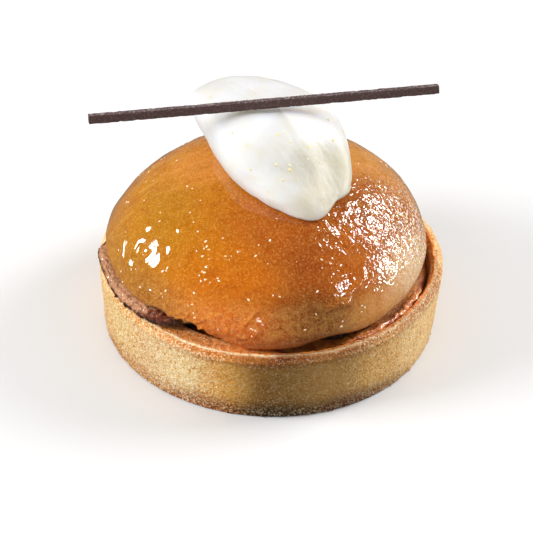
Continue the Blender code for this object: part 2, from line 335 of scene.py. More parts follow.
class SharedLooks:
    """The effects that several finishes use, each built once as a node group."""

    def __init__(self) -> None:
        """Builds the groups."""
        self.sandy = self._sandy()
        self.veined = self._veined()

    @staticmethod
    def _group(name: str, takes: dict[str, tuple[str, float]], gives: list[str]) -> tuple[bpy.types.NodeTree, Bench]:
        """Starts a group.

        Args:
            name: the group's name.
            takes: each input's socket type and usual value.
            gives: the outputs' names, all of them plain numbers.

        Returns:
            The group and a bench on it.
        """
        tree = bpy.data.node_groups.new(name, "ShaderNodeTree")
        for label, (kind, usual) in takes.items():
            socket = tree.interface.new_socket(name=label, in_out="INPUT", socket_type=kind)
            if kind == "NodeSocketFloat":
                socket.default_value = usual
        for label in gives:
            tree.interface.new_socket(name=label, in_out="OUTPUT", socket_type="NodeSocketFloat")
        return tree, Bench(tree)

    def _sandy(self) -> bpy.types.NodeTree:
        """Fine dry grain: a mask of pale grains, a mask of dark pits and the height of both.

        Returns:
            The group.
        """
        takes = {"Vector": ("NodeSocketVector", 0), "Grain": ("NodeSocketFloat", 0.5)}
        tree, bench = self._group("Sandy grain", takes, ["Pale", "Dark", "Height"])
        given = bench.add("NodeGroupInput")
        near = bench.add("ShaderNodeVectorMath", {0: given.outputs["Vector"]}, operation="SCALE")
        bench.feed(near.inputs["Scale"], bench.sum("DIVIDE", 1.0, given.outputs["Grain"]))
        fine = bench.add("ShaderNodeTexNoise", {"Vector": near.outputs[0], "Scale": 1.0, "Detail": 3.0}).outputs[0]
        spots = bench.add("ShaderNodeTexVoronoi", {"Vector": near.outputs[0], "Scale": 0.8, "Randomness": 1.0})
        coarse = bench.add("ShaderNodeTexNoise", {"Vector": near.outputs[0], "Scale": 0.35, "Detail": 2.0}).outputs[0]
        pale = bench.step(fine, 0.52, 0.64)
        dark = bench.step(bench.sum("ADD", fine, bench.sum("MULTIPLY", coarse, 0.5)), 0.72, 0.58)
        grain = bench.step(spots.outputs["Distance"], 0.75, 0.1)
        height = bench.sum("ADD", bench.sum("MULTIPLY", grain, 0.45), bench.sum("MULTIPLY", fine, 0.8))
        bench.add("NodeGroupOutput", {"Pale": pale, "Dark": dark, "Height": height})
        return tree

    def _veined(self) -> bpy.types.NodeTree:
        """Soft winding threads, as in cooked fruit flesh: broad veins, fine worm-like threads and their height.

        Returns:
            The group.
        """
        takes = {"Vector": ("NodeSocketVector", 0), "Size": ("NodeSocketFloat", 3)}
        tree, bench = self._group("Veined flesh", takes, ["Veins", "Threads", "Height"])
        given = bench.add("NodeGroupInput")
        near = bench.add("ShaderNodeVectorMath", {0: given.outputs["Vector"]}, operation="SCALE")
        bench.feed(near.inputs["Scale"], bench.sum("DIVIDE", 1.0, given.outputs["Size"]))
        broad = bench.noise(near.outputs[0], 1.0, 3, 1.4)
        thin = bench.noise(near.outputs[0], 0.21, 2, 1.8)
        veins = bench.step(bench.sum("ABSOLUTE", bench.sum("SUBTRACT", broad, 0.5)), 0.10, 0.0)
        threads = bench.step(bench.sum("ABSOLUTE", bench.sum("SUBTRACT", thin, 0.5)), 0.13, 0.0)
        height = bench.sum("ADD", bench.sum("MULTIPLY", veins, 0.6), bench.sum("MULTIPLY", threads, 0.4))
        bench.add("NodeGroupOutput", {"Veins": veins, "Threads": threads, "Height": height})
        return tree


def _group_node(bench: Bench, group: bpy.types.NodeTree, inputs: dict) -> bpy.types.Node:
    """Adds a group's node and feeds its inputs, which exist only once the node knows its group.

    Args:
        bench: the material's bench.
        group: the shared group.
        inputs: what its inputs get.

    Returns:
        The group's node.
    """
    node = bench.add("ShaderNodeGroup", node_tree=group)
    for key, value in inputs.items():
        bench.feed(node.inputs[key], value)
    return node


def new_material(name: str, **numbers: float) -> tuple[bpy.types.Material, Bench, bpy.types.Node]:
    """Starts a material with one Principled shader.

    Args:
        name: the material's name.
        **numbers: the shader's constant inputs, with underscores for spaces.

    Returns:
        The material, a bench on its nodes and the shader.
    """
    material = bpy.data.materials.new(name)
    material.use_nodes = True
    material.node_tree.nodes.clear()
    bench = Bench(material.node_tree)
    shader = bench.add("ShaderNodeBsdfPrincipled")
    for key, value in numbers.items():
        shader.inputs[key.replace("_", " ")].default_value = value
    out = bench.add("ShaderNodeOutputMaterial")
    bench.feed(out.inputs[0], shader.outputs[0])
    return material, bench, shader


@dataclass(frozen=True)
class ShortcrustFinish:
    """Baked shortcrust: golden, dry and sandy, browner at its foot and painted darker there as shade, stained by
    caramel inside the rim; its carried colour holds painted light and shade.
    """

    darker: tuple = (0.76, 0.52, 0.26, 1.0)
    lighter: tuple = (0.5, 0.42, 0.28, 1.0)
    stain: tuple = shade(250, 140, 20)
    ledge: tuple = shade(250, 160, 70)
    # Darker orange towards the dome inside the rim: caramel, and painted shade under the dome's overhang.
    deep_caramel_shade: tuple = shade(206, 100, 20)
    pale: tuple = shade(255, 232, 184)

    def material(self, looks: SharedLooks) -> bpy.types.Material:
        """Builds the finish.

        Args:
            looks: the shared effects.

        Returns:
            The material.
        """
        material, bench, shader = new_material("shortcrust", Roughness=0.88, Specular_IOR_Level=0.25)
        place = bench.millimetres()
        sand = _group_node(bench, looks.sandy, {"Vector": place, "Grain": 0.42})
        coarse = _group_node(bench, looks.sandy, {"Vector": place, "Grain": 0.85})
        sandy = bench.mark("sandy")
        clouds = bench.noise(place, 6, 3, 0.4)
        inner = bench.lay(bench.mark("ledge"), self.stain, self.ledge)
        # Towards the dome the stain goes darker: caramel and painted shade.
        inner = bench.lay(bench.mark("deep_caramel_shade"), inner, self.deep_caramel_shade)
        # The carried colour holds painted light and shade on the wall and the foot.
        colour = bench.lay(bench.mark("stain"), bench.dye("colour_and_shade"), inner)
        colour = bench.lay(bench.mark("crest"), colour, self.pale)
        colour = bench.lay(bench.step(clouds, 0.45, 0.75, 0, 0.35), colour, self.darker, Blending.MULTIPLY)
        for grain, much in ((coarse, 0.35), (sand, 1.0)):
            dark = bench.sum("MULTIPLY", bench.sum("MULTIPLY", grain.outputs["Dark"], sandy), much)
            colour = bench.lay(dark, colour, self.darker, Blending.MULTIPLY)
            pale = bench.sum("MULTIPLY", bench.sum("MULTIPLY", grain.outputs["Pale"], sandy), much)
            colour = bench.lay(pale, colour, self.lighter, Blending.SCREEN)
        bench.feed(shader.inputs["Base Color"], colour)
        relief = bench.bump(coarse.outputs["Height"], 0.08)
        bench.feed(shader.inputs["Normal"], bench.bump(sand.outputs["Height"], 0.09, relief))
        bench.feed(shader.inputs["Coat Weight"], bench.mark("wet"))
        shader.inputs["Coat Roughness"].default_value = 0.15
        return material


@dataclass(frozen=True)
class GlazeFinish:
    """Cooked apple under a clear amber glaze, with painted glint dots along its lower right edge and painted light and
    shade in its carried colour.
    """

    darker: tuple = (0.74, 0.58, 0.2, 1.0)
    lighter: tuple = (0.29, 0.17, 0.04, 1.0)
    painted_glint_colour: tuple = (0.75, 0.66, 0.54, 1.0)

    def material(self, looks: SharedLooks) -> bpy.types.Material:
        """Builds the finish.

        Args:
            looks: the shared effects.

        Returns:
            The material.
        """
        numbers = {"Specular_IOR_Level": 0.5, "IOR": 1.5, "Subsurface_Weight": 0.35, "Subsurface_Scale": 0.004}
        material, bench, shader = new_material("glazed_apple", **numbers)
        shader.inputs["Subsurface Radius"].default_value = (1.0, 0.4, 0.06)
        place = bench.millimetres()
        flesh = _group_node(bench, looks.veined, {"Vector": bench.stretched(place, (0.7, 0.7, 1.2)), "Size": 3.4})
        small = _group_node(bench, looks.veined, {"Vector": place, "Size": 2.4})
        fine = _group_node(bench, looks.sandy, {"Vector": place, "Grain": 0.5})
        veined = bench.mark("veined")
        clouds = bench.noise(place, 4, 4, 0.8)
        # The carried colour holds painted sheen, glow and shade.
        colour = bench.dye("colour_and_shade")
        colour = bench.lay(bench.step(clouds, 0.45, 0.7, 0, 0.5), colour, self.darker, Blending.MULTIPLY)
        colour = bench.lay(bench.sum("MULTIPLY", fine.outputs["Dark"], 0.5), colour, self.darker, Blending.MULTIPLY)
        colour = bench.lay(bench.sum("MULTIPLY", fine.outputs["Pale"], 0.5), colour, self.lighter, Blending.SCREEN)
        veins = bench.sum("MULTIPLY", flesh.outputs["Veins"], bench.step(veined, 0, 1, 0.0, 0.5))
        colour = bench.lay(veins, colour, self.lighter, Blending.SCREEN)
        threads = bench.sum("MULTIPLY", small.outputs["Threads"], bench.step(veined, 0, 1, 0.15, 0.8))
        colour = bench.lay(threads, colour, self.lighter, Blending.SCREEN)
        lines = bench.noise(bench.stretched(place, (0.16, 1.0, 0.2)), 1.5, 3, 0.5)
        lines = bench.sum("MULTIPLY", bench.step(lines, 0.52, 0.68), bench.mark("streaked"))
        colour = bench.lay(lines, colour, self.lighter, Blending.SCREEN)
        # Painted glints: fine pale dots along the lower right edge, over a stipple of real bumps.
        stipple_and_glints = bench.mark("stipple_and_glints")
        glint_dots = bench.sum("MULTIPLY", bench.step(bench.noise(place, 0.55, 1, 0.5), 0.5, 0.6), stipple_and_glints)
        colour = bench.lay(glint_dots, colour, self.painted_glint_colour, Blending.SCREEN)
        bench.feed(shader.inputs["Base Color"], colour)
        bench.feed(shader.inputs["Roughness"], bench.step(bench.mark("dull"), 0, 1, 0.045, 0.12))
        wrinkles = bench.sum("MULTIPLY", bench.noise(place, 0.95, 0, 0.8), bench.mark("wrinkled"))
        relief = bench.bump(wrinkles, 0.26)
        stipple = bench.sum("MULTIPLY", bench.noise(place, 0.9, 0, 0.5), stipple_and_glints)
        bench.feed(shader.inputs["Normal"], bench.bump(stipple, 0.2, relief))
        return material


@dataclass(frozen=True)
class GlintFinish:
    """Tiny pale beads on the glaze that are painted glints: pale lumps that stand in for its small highlights."""

    pale: tuple = shade(255, 240, 214)
    amber: tuple = shade(255, 220, 160)

    def material(self) -> bpy.types.Material:
        """Builds the finish."""
        material, bench, shader = new_material("glaze_glints", Roughness=0.12, IOR=1.5)
        clouds = bench.noise(bench.millimetres(), 0.9, 1)
        bench.feed(shader.inputs["Base Color"], bench.lay(bench.step(clouds, 0.45, 0.6), self.pale, self.amber))
        return material


@dataclass(frozen=True)
class CaramelFinish:
    """Set caramel, dark amber and glossy."""

    amber: tuple = shade(214, 130, 48)
    dark: tuple = shade(168, 84, 24)

    def material(self, looks: SharedLooks) -> bpy.types.Material:
        """Builds the finish.

        Args:
            looks: the shared effects.

        Returns:
            The material.
        """
        numbers = {"Roughness": 0.5, "Coat_Roughness": 0.05, "Subsurface_Weight": 0.2, "Subsurface_Scale": 0.002}
        material, bench, shader = new_material("caramel", **numbers)
        shader.inputs["Subsurface Radius"].default_value = (1.0, 0.35, 0.08)
        shader.inputs["Coat Weight"].default_value = 0.6
        place = bench.millimetres()
        flesh = _group_node(bench, looks.veined, {"Vector": place, "Size": 2.4})
        clouds = bench.noise(place, 3, 3, 0.8)
        colour = bench.lay(bench.step(clouds, 0.35, 0.65), self.amber, self.dark)
        bench.feed(shader.inputs["Base Color"], colour)
        relief = bench.bump(flesh.outputs["Height"], 0.05)
        bench.feed(shader.inputs["Normal"], bench.bump(bench.noise(place, 0.7, 0, 0.8), 0.26, relief))
        return material


@dataclass(frozen=True)
class BrownedFinish:
    """Browned apple: moist, knobbly, pinkish tan above and burnt at its lower edge."""

    tan: tuple = shade(226, 162, 118)
    rust: tuple = shade(126, 50, 20)
    burnt: tuple = shade(44, 20, 12)

    def material(self, looks: SharedLooks) -> bpy.types.Material:
        """Builds the finish.

        Args:
            looks: the shared effects.

        Returns:
            The material.
        """
        numbers = {"Roughness": 0.45, "Coat_Roughness": 0.08, "Subsurface_Weight": 0.1, "Subsurface_Scale": 0.001}
        material, bench, shader = new_material("browned_apple", **numbers)
        shader.inputs["Coat Weight"].default_value = 0.9
        place = bench.millimetres()
        flesh = _group_node(bench, looks.veined, {"Vector": place, "Size": 2.2})
        clouds = bench.noise(place, 1.4, 3, 0.8)
        height = bench.mark("raised")
        tone = bench.sum("ADD", height, bench.sum("MULTIPLY", bench.sum("SUBTRACT", clouds, 0.5), 1.6))
        colour = bench.lay(bench.step(tone, 0.55, 0.95), self.rust, self.tan)
        colour = bench.lay(bench.step(tone, 0.4, 0.16), colour, self.burnt)
        colour = bench.lay(bench.sum("MULTIPLY", flesh.outputs["Threads"], 0.35), colour, self.burnt)
        bench.feed(shader.inputs["Base Color"], colour)
        relief = bench.bump(flesh.outputs["Height"], 0.15)
        bench.feed(shader.inputs["Normal"], bench.bump(bench.noise(place, 0.8, 1, 0.6), 0.7, relief))
        return material


@dataclass(frozen=True)
class CreamFinish:
    """Whipped cream, off-white and matte."""

    warm: tuple = (0.97, 0.95, 0.88, 1.0)

    def material(self, looks: SharedLooks) -> bpy.types.Material:
        """Builds the finish.

        Args:
            looks: the shared effects.

        Returns:
            The material.
        """
        numbers = {"Roughness": 0.5, "Specular_IOR_Level": 0.35, "Subsurface_Weight": 0.6, "Subsurface_Scale": 0.006}
        material, bench, shader = new_material("whipped_cream", **numbers)
        shader.inputs["Subsurface Radius"].default_value = (1.0, 0.85, 0.6)
        place = bench.millimetres()
        sand = _group_node(bench, looks.sandy, {"Vector": place, "Grain": 0.7})
        clouds = bench.noise(place, 5, 3, 0.3)
        # The carried colour holds the cream's painted shade.
        colour = bench.lay(bench.step(clouds, 0.4, 0.7), bench.dye("colour_and_shade"), self.warm, Blending.MULTIPLY)
        bench.feed(shader.inputs["Base Color"], colour)
        bench.feed(shader.inputs["Normal"], bench.bump(sand.outputs["Height"], 0.035))
        return material


@dataclass(frozen=True)
class ChocolateFinish:
    """Dark chocolate, grainy on top and smooth in front."""

    dark: tuple = shade(78, 54, 50)
    bloom: tuple = shade(176, 164, 168)

    def material(self, looks: SharedLooks) -> bpy.types.Material:
        """Builds the finish.

        Args:
            looks: the shared effects.

        Returns:
            The material.
        """
        material, bench, shader = new_material("chocolate", Specular_IOR_Level=0.4)
        place = bench.millimetres()
        sand = _group_node(bench, looks.sandy, {"Vector": place, "Grain": 0.45})
        top = bench.mark("grainy")
        colour = bench.lay(bench.sum("MULTIPLY", sand.outputs["Pale"], top), self.dark, self.bloom)
        bench.feed(shader.inputs["Base Color"], colour)
        bench.feed(shader.inputs["Roughness"], bench.step(sand.outputs["Height"], 0.2, 0.9, 0.5, 0.75))
        bench.feed(shader.inputs["Normal"], bench.bump(sand.outputs["Height"], 0.12))
        return material


@dataclass(frozen=True)
class ZestFinish:
    """Fine specks of yellow zest."""

    yellow: tuple = shade(236, 216, 120)
    pale: tuple = shade(238, 226, 176)

    def material(self) -> bpy.types.Material:
        """Builds the finish."""
        material, bench, shader = new_material("zest", Roughness=0.5)
        clouds = bench.noise(bench.millimetres(), 1.2, 1)
        bench.feed(shader.inputs["Base Color"], bench.lay(bench.step(clouds, 0.4, 0.6), self.yellow, self.pale))
        return material


@dataclass(frozen=True)
class PaleFloorFinish:
    """The pale studio floor, which throws less light back at the tart than it shows to the eye."""

    seen: tuple = (0.70, 0.70, 0.705, 1.0)
    felt: tuple = (0.12, 0.12, 0.12, 1.0)

    def material(self) -> bpy.types.Material:
        """Builds the finish."""
        material, bench, shader = new_material("pale_floor", Roughness=0.9, Specular_IOR_Level=0.1)
        seen = bench.add("ShaderNodeLightPath").outputs["Is Camera Ray"]
        bench.feed(shader.inputs["Base Color"], bench.lay(seen, self.felt, self.seen))
        return material


@dataclass(frozen=True)
class Spot:
    """A soft patch on a piece, placed by its turn in degrees and its level.

    The level is a climb in degrees from the piece's heart, or on the shell a height in millimetres.
    """

    turn: float
    level: float
    wide: float
    high: float

    def weight(self, turns: np.ndarray, levels: np.ndarray) -> np.ndarray:
        """How much of the patch each point has.

        Args:
            turns: the points' turns.
            levels: the points' levels.

        Returns:
            Shares from 0 to 1.
        """
        across = turn_between(turns, self.turn) / self.wide
        return np.exp(-(across**2) - ((levels - self.level) / self.high) ** 2)


@dataclass(frozen=True)
class ShadedTint:
    """A patch with a colour, which holds both the thing's own colour and painted light and shade."""

    spot: Spot
    colour: tuple


def blended(colours_and_shades: list[ShadedTint], turns: np.ndarray, levels: np.ndarray) -> np.ndarray:
    """The colour at each point from the patches near it, own colour and painted light and shade together.

    Args:
        colours_and_shades: the patches.
        turns: the points' turns.
        levels: the points' levels.

    Returns:
        One colour for each point.
    """
    colour = np.zeros((len(turns), 4))
    whole = np.zeros(len(turns))
    for colour_and_shade in colours_and_shades:
        weight = colour_and_shade.spot.weight(turns, levels) + 1e-9
        colour += weight[:, None] * np.array(colour_and_shade.colour)
        whole += weight
    return colour / whole[:, None]


@dataclass(frozen=True)
class GlazeFacet:
    """A small flat place in the glaze that leans a little, so that it catches the light."""

    turn: float
    climb: float
    wide: float
    high: float
    lean_turn: float
    lean_climb: float

    def height(self, turns: np.ndarray, climbs: np.ndarray, reach: np.ndarray) -> np.ndarray:
        """The facet's height at each point.

        Args:
            turns: the points' turns.
            climbs: the points' climbs.
            reach: the points' distances from the heart in millimetres.

        Returns:
            Heights in millimetres.
        """
        level = np.cos(np.radians(self.climb))
        x = np.radians(turn_between(turns, self.turn)) * level * reach
        y = np.radians(climbs - self.climb) * reach
        lean = math.tan(math.radians(self.lean_turn)) * x + math.tan(math.radians(self.lean_climb)) * y
        return -lean * np.exp(-((x / self.wide) ** 2) - (y / self.high) ** 2)


class SolidSkin:
    """The outside of one solid, smoothed, onto which finer skins are cast."""

    def __init__(self, node: str, rounds: int) -> None:
        """Copies and smooths the solid.

        Args:
            node: the solid's name.
            rounds: how often its faces are split and smoothed.
        """
        mesh = bpy.data.meshes.new(node + "_cast")
        bm = bmesh.new()
        bm.from_mesh(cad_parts[node].data)
        bmesh.ops.remove_doubles(bm, verts=bm.verts, dist=2e-6)
        bmesh.ops.join_triangles(
            bm, faces=bm.faces, angle_face_threshold=math.radians(40), angle_shape_threshold=math.radians(60)
        )
        bm.to_mesh(mesh)
        bm.free()
        carrier = bpy.data.objects.new(mesh.name, mesh)
        bpy.context.collection.objects.link(carrier)
        if rounds:
            smooth = carrier.modifiers.new("smooth", "SUBSURF")
            smooth.levels = smooth.render_levels = rounds
        bpy.context.view_layer.update()
        fine = carrier.evaluated_get(bpy.context.evaluated_depsgraph_get()).to_mesh()
        points = [v.co.copy() for v in fine.vertices]
        self.tree = BVHTree.FromPolygons(points, [tuple(p.vertices) for p in fine.polygons])
        bpy.data.objects.remove(carrier)
        bpy.data.meshes.remove(mesh)

    def reach(self, starts: np.ndarray, directions: np.ndarray) -> np.ndarray:
        """Where rays meet the solid's outside.

        Args:
            starts: start of each ray in millimetres.
            directions: direction of each ray.

        Returns:
            The points met, in millimetres. A ray that meets nothing gives its neighbour's point.
        """
        flat_starts = np.broadcast_to(starts, directions.shape).reshape(-1, 3) * MM
        met = np.empty_like(flat_starts)
        last = flat_starts[0]
        for row, (start, way) in enumerate(zip(flat_starts.tolist(), directions.reshape(-1, 3).tolist())):
            spot = self.tree.ray_cast(Vector(start), Vector(way))[0]
            if spot is not None:
                last = spot
            met[row] = last
        return met.reshape(directions.shape) / MM


class Skin:
    """A fine closed mesh laid out in rows, which go round the piece, from its foot pole to its head pole."""

    def __init__(self, name: str, points: np.ndarray) -> None:
        """Builds the mesh.

        Args:
            name: the piece's name.
            points: the grid, rows by columns by three, in millimetres. The first and last row close to a point each.
        """
        self.rows, self.columns = points.shape[:2]
        flat = points.reshape(-1, 3)
        foot, head = points[0].mean(0), points[-1].mean(0)
        self.places = np.vstack([flat, foot, head])
        row, column = np.meshgrid(np.arange(self.rows - 1), np.arange(self.columns), indexing="ij")
        beside = (column + 1) % self.columns
        first = row * self.columns
        quads = np.stack([first + column, first + beside, first + beside + self.columns, first + column + self.columns], -1)
        ring = np.arange(self.columns)
        onward = (ring + 1) % self.columns
        low, high, top = len(flat), len(flat) + 1, (self.rows - 1) * self.columns
        faces = quads.reshape(-1, 4).tolist()
        faces += np.stack([onward, ring, np.full_like(ring, low)], -1).tolist()
        faces += np.stack([top + ring, top + onward, np.full_like(ring, high)], -1).tolist()
        self.mesh = bpy.data.meshes.new(name)
        self.mesh.from_pydata((self.places * MM).tolist(), [], faces)
        self.mesh.update()
        self.mesh.shade_smooth()
        self.piece = bpy.data.objects.new(name, self.mesh)
        bpy.context.collection.objects.link(self.piece)

    def normals(self) -> np.ndarray:
        """The outward direction at each point."""
        found = np.empty(len(self.places) * 3, dtype=np.float32)
        self.mesh.vertex_normals.foreach_get("vector", found)
        return found.reshape(-1, 3).astype(float)

    def swell(self, heights: np.ndarray) -> None:
        """Moves each point outwards by its own height in millimetres."""
        self.move(self.normals() * heights[:, None])

    def move(self, shifts: np.ndarray) -> None:
        """Moves each point by its own shift in millimetres."""
        self.places = self.places + shifts
        self.mesh.vertices.foreach_set("co", (self.places * MM).astype(np.float32).ravel())
        self.mesh.update()

    def relax(self, shares: np.ndarray, rounds: int) -> None:
        """Smooths the skin by pulling each point towards its four neighbours.

        Args:
            shares: how far each point goes, from 0 to 1.
            rounds: how often.
        """
        grid = self.places[:-2].reshape(self.rows, self.columns, 3)
        pull = shares[:-2].reshape(self.rows, self.columns, 1)
        for _ in range(rounds):
            ends = np.concatenate([grid[:1], grid, grid[-1:]])
            middle = (ends[:-2] + ends[2:] + np.roll(grid, 1, 1) + np.roll(grid, -1, 1)) / 4
            grid = grid + (middle - grid) * pull
        self.move(np.vstack([grid.reshape(-1, 3), self.places[-2:]]) - self.places)

    def fill_hollows(self, shares: np.ndarray, rounds: int) -> None:
        """Fills creases and leaves everything that stands out as it is.

        Args:
            shares: how far each point is filled, from 0 to 1.
            rounds: how wide the creases are that fill up.
        """
        before = self.places
        self.relax(np.full(len(before), 0.5), rounds)
        after = self.places
        self.move(before - after)
        normals = self.normals()
        self.swell(np.clip(((after - before) * normals).sum(1), 0, None) * shares)

    def carry(self, name: str, values: np.ndarray) -> None:
        """Stores a value at each point for the finish to read.

        Args:
            name: the value's name.
            values: one number, or one colour of four, for each point.
        """
        if values.ndim == 1:
            layer = self.mesh.attributes.new(name, "FLOAT", "POINT")
            layer.data.foreach_set("value", values.astype(np.float32))
        else:
            layer = self.mesh.attributes.new(name, "FLOAT_COLOR", "POINT")
            layer.data.foreach_set("color", values.astype(np.float32).ravel())


def sphere_ways(azimuths: np.ndarray, climbs: np.ndarray) -> np.ndarray:
    """Directions all round a heart point.

    Args:
        azimuths: turns about the upright axis in degrees, one for each column.
        climbs: angles above level in degrees, one for each row.

    Returns:
        Unit directions, rows by columns by three.
    """
    climb, turn = np.meshgrid(np.radians(climbs), np.radians(azimuths), indexing="ij")
    return np.stack([np.cos(climb) * np.cos(turn), np.cos(climb) * np.sin(turn), np.sin(climb)], -1)


def spaced_turn(front: int, back: int) -> np.ndarray:
    """Azimuths all round, closer in front, where the tart is looked at, than behind.

    Args:
        front: columns from the left over the front to the right.
        back: columns over the back.

    Returns:
        The azimuths in degrees, rising.
    """
    return np.concatenate([np.linspace(-190, 10, front, endpoint=False), np.linspace(10, 170, back, endpoint=False)])


def finish_piece(piece: bpy.types.Object, material: bpy.types.Material, slot: Slot, *nodes: str) -> None:
    """Gives a piece its finish, lets it ride on the tart and hides the solids that it stands for.

    Args:
        piece: the piece.
        material: its finish.
        slot: the record's slot for it; it is not used.
        *nodes: the solids that it stands for.
    """
    piece.data.materials.clear()
    piece.data.materials.append(material)
    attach(piece, BODY)
    if nodes:
        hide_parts(*nodes)
    log.info("%s: %d faces", piece.name, len(piece.data.polygons))


@dataclass(frozen=True)
class Scatter:
    """Small lumps strewn over a skin by geometry nodes, thickest where the skin carries the most of a value."""

    name: str
    mark: str
    per_square_mm: float
    least: float
    greatest: float
    flatness: float = 1.0
    sunk: float = 0.2
    seed: int = 1
    length: float = 1.0

    def _tree(self, material: bpy.types.Material) -> bpy.types.GeometryNodeTree:
        """Builds the node tree.

        Args:
            material: the lumps' finish.

        Returns:
            The tree, with its sizes as named inputs.
        """
        tree = bpy.data.node_groups.new(self.name + "_scatter", "GeometryNodeTree")
        face = tree.interface
        face.new_socket(name="Skin", in_out="INPUT", socket_type="NodeSocketGeometry")
        for label in ("Density", "Least size", "Greatest size", "Length", "Flatness", "Sunk"):
            face.new_socket(name=label, in_out="INPUT", socket_type="NodeSocketFloat")
        face.new_socket(name="Seed", in_out="INPUT", socket_type="NodeSocketInt")
        face.new_socket(name="Lumps", in_out="OUTPUT", socket_type="NodeSocketGeometry")
        bench = Bench(tree)
        given = bench.add("NodeGroupInput").outputs
        share = bench.add("GeometryNodeInputNamedAttribute", {"Name": self.mark}, data_type="FLOAT").outputs[0]
        density = bench.sum("MULTIPLY", given["Density"], share)
        spread = {"Mesh": given["Skin"], "Density": density, "Seed": given["Seed"]}
        strewn = bench.add("GeometryNodeDistributePointsOnFaces", spread, distribute_method="RANDOM")
        lump = bench.add("GeometryNodeMeshIcoSphere", {"Radius": 0.5, "Subdivisions": 2})
        dent = bench.add("ShaderNodeTexNoise", {"Scale": 2.2, "Detail": 1.0}).outputs[0]
        away = bench.add("ShaderNodeVectorMath", {0: bench.add("GeometryNodeInputNormal").outputs[0]}, operation="SCALE")
        bench.feed(away.inputs["Scale"], bench.sum("MULTIPLY", bench.sum("SUBTRACT", dent, 0.5), 0.5))
        uneven = bench.add("GeometryNodeSetPosition", {"Geometry": lump.outputs[0], "Offset": away.outputs[0]})
        size = bench.add("FunctionNodeRandomValue", data_type="FLOAT")
        bench.feed(size.inputs[2], given["Least size"])
        bench.feed(size.inputs[3], given["Greatest size"])
        bench.feed(size.inputs["Seed"], given["Seed"])
        size = size.outputs[1]
        long = bench.sum("MULTIPLY", size, given["Length"])
        scale = bench.add("ShaderNodeCombineXYZ", {0: long, 1: size, 2: bench.sum("MULTIPLY", size, given["Flatness"])})
        roll = bench.add("FunctionNodeRandomValue", {"Seed": 7}, data_type="FLOAT")
        roll.inputs[3].default_value = math.tau
        turned = bench.add("FunctionNodeRotateRotation", rotation_space="LOCAL")
        bench.feed(turned.inputs[0], strewn.outputs["Rotation"])
        spin = bench.add("ShaderNodeCombineXYZ", {2: roll.outputs[1]})
        bench.feed(turned.inputs[1], spin.outputs[0])
        lumps = {"Points": strewn.outputs[0], "Instance": uneven.outputs[0], "Rotation": turned.outputs[0]}
        placed = bench.add("GeometryNodeInstanceOnPoints", {**lumps, "Scale": scale.outputs[0]})
        inwards = bench.sum("MULTIPLY", bench.sum("MULTIPLY", given["Greatest size"], given["Sunk"]), -1)
        depth = bench.add("ShaderNodeCombineXYZ", {2: inwards})
        sunk = bench.add("GeometryNodeTranslateInstances", {"Instances": placed.outputs[0], "Translation": depth.outputs[0]})
        real = bench.add("GeometryNodeRealizeInstances", {0: sunk.outputs[0]})
        soft = bench.add("GeometryNodeSetShadeSmooth", {"Geometry": real.outputs[0], "Shade Smooth": True})
        done = bench.add("GeometryNodeSetMaterial", {"Geometry": soft.outputs[0], "Material": material})
        bench.add("NodeGroupOutput", {"Lumps": done.outputs[0]})
        return tree

    def strew(self, skin: Skin, material: bpy.types.Material) -> bpy.types.Object:
        """Strews the lumps over a skin.

        Args:
            skin: the skin that carries the value.
            material: the lumps' finish.

        Returns:
            The lumps, as one plain mesh piece.
        """
        carrier = bpy.data.objects.new(self.name + "_carrier", skin.mesh)
        bpy.context.collection.objects.link(carrier)
        nodes = carrier.modifiers.new("scatter", "NODES")
        nodes.node_group = self._tree(material)
        wanted = {
            "Density": self.per_square_mm / MM**2,
            "Least size": self.least * MM,
            "Greatest size": self.greatest * MM,
            "Length": self.length,
            "Flatness": self.flatness,
            "Sunk": self.sunk,
            "Seed": self.seed,
        }
        for socket in nodes.node_group.interface.items_tree:
            if socket.in_out == "INPUT" and socket.name in wanted:
                nodes[socket.identifier] = wanted[socket.name]
        return plain_piece(carrier, self.name)


def plain_piece(carrier: bpy.types.Object, name: str) -> bpy.types.Object:
    """Turns what a carrier's geometry nodes make into a plain mesh piece, and removes the carrier.

    Args:
        carrier: the object with the modifier.
        name: the new piece's name.

    Returns:
        The new piece.
    """
    bpy.context.view_layer.update()
    made = carrier.evaluated_get(bpy.context.evaluated_depsgraph_get())
    mesh = bpy.data.meshes.new_from_object(made)
    mesh.name = name
    bpy.data.objects.remove(carrier)
    piece = bpy.data.objects.new(name, mesh)
    bpy.context.collection.objects.link(piece)
    return piece


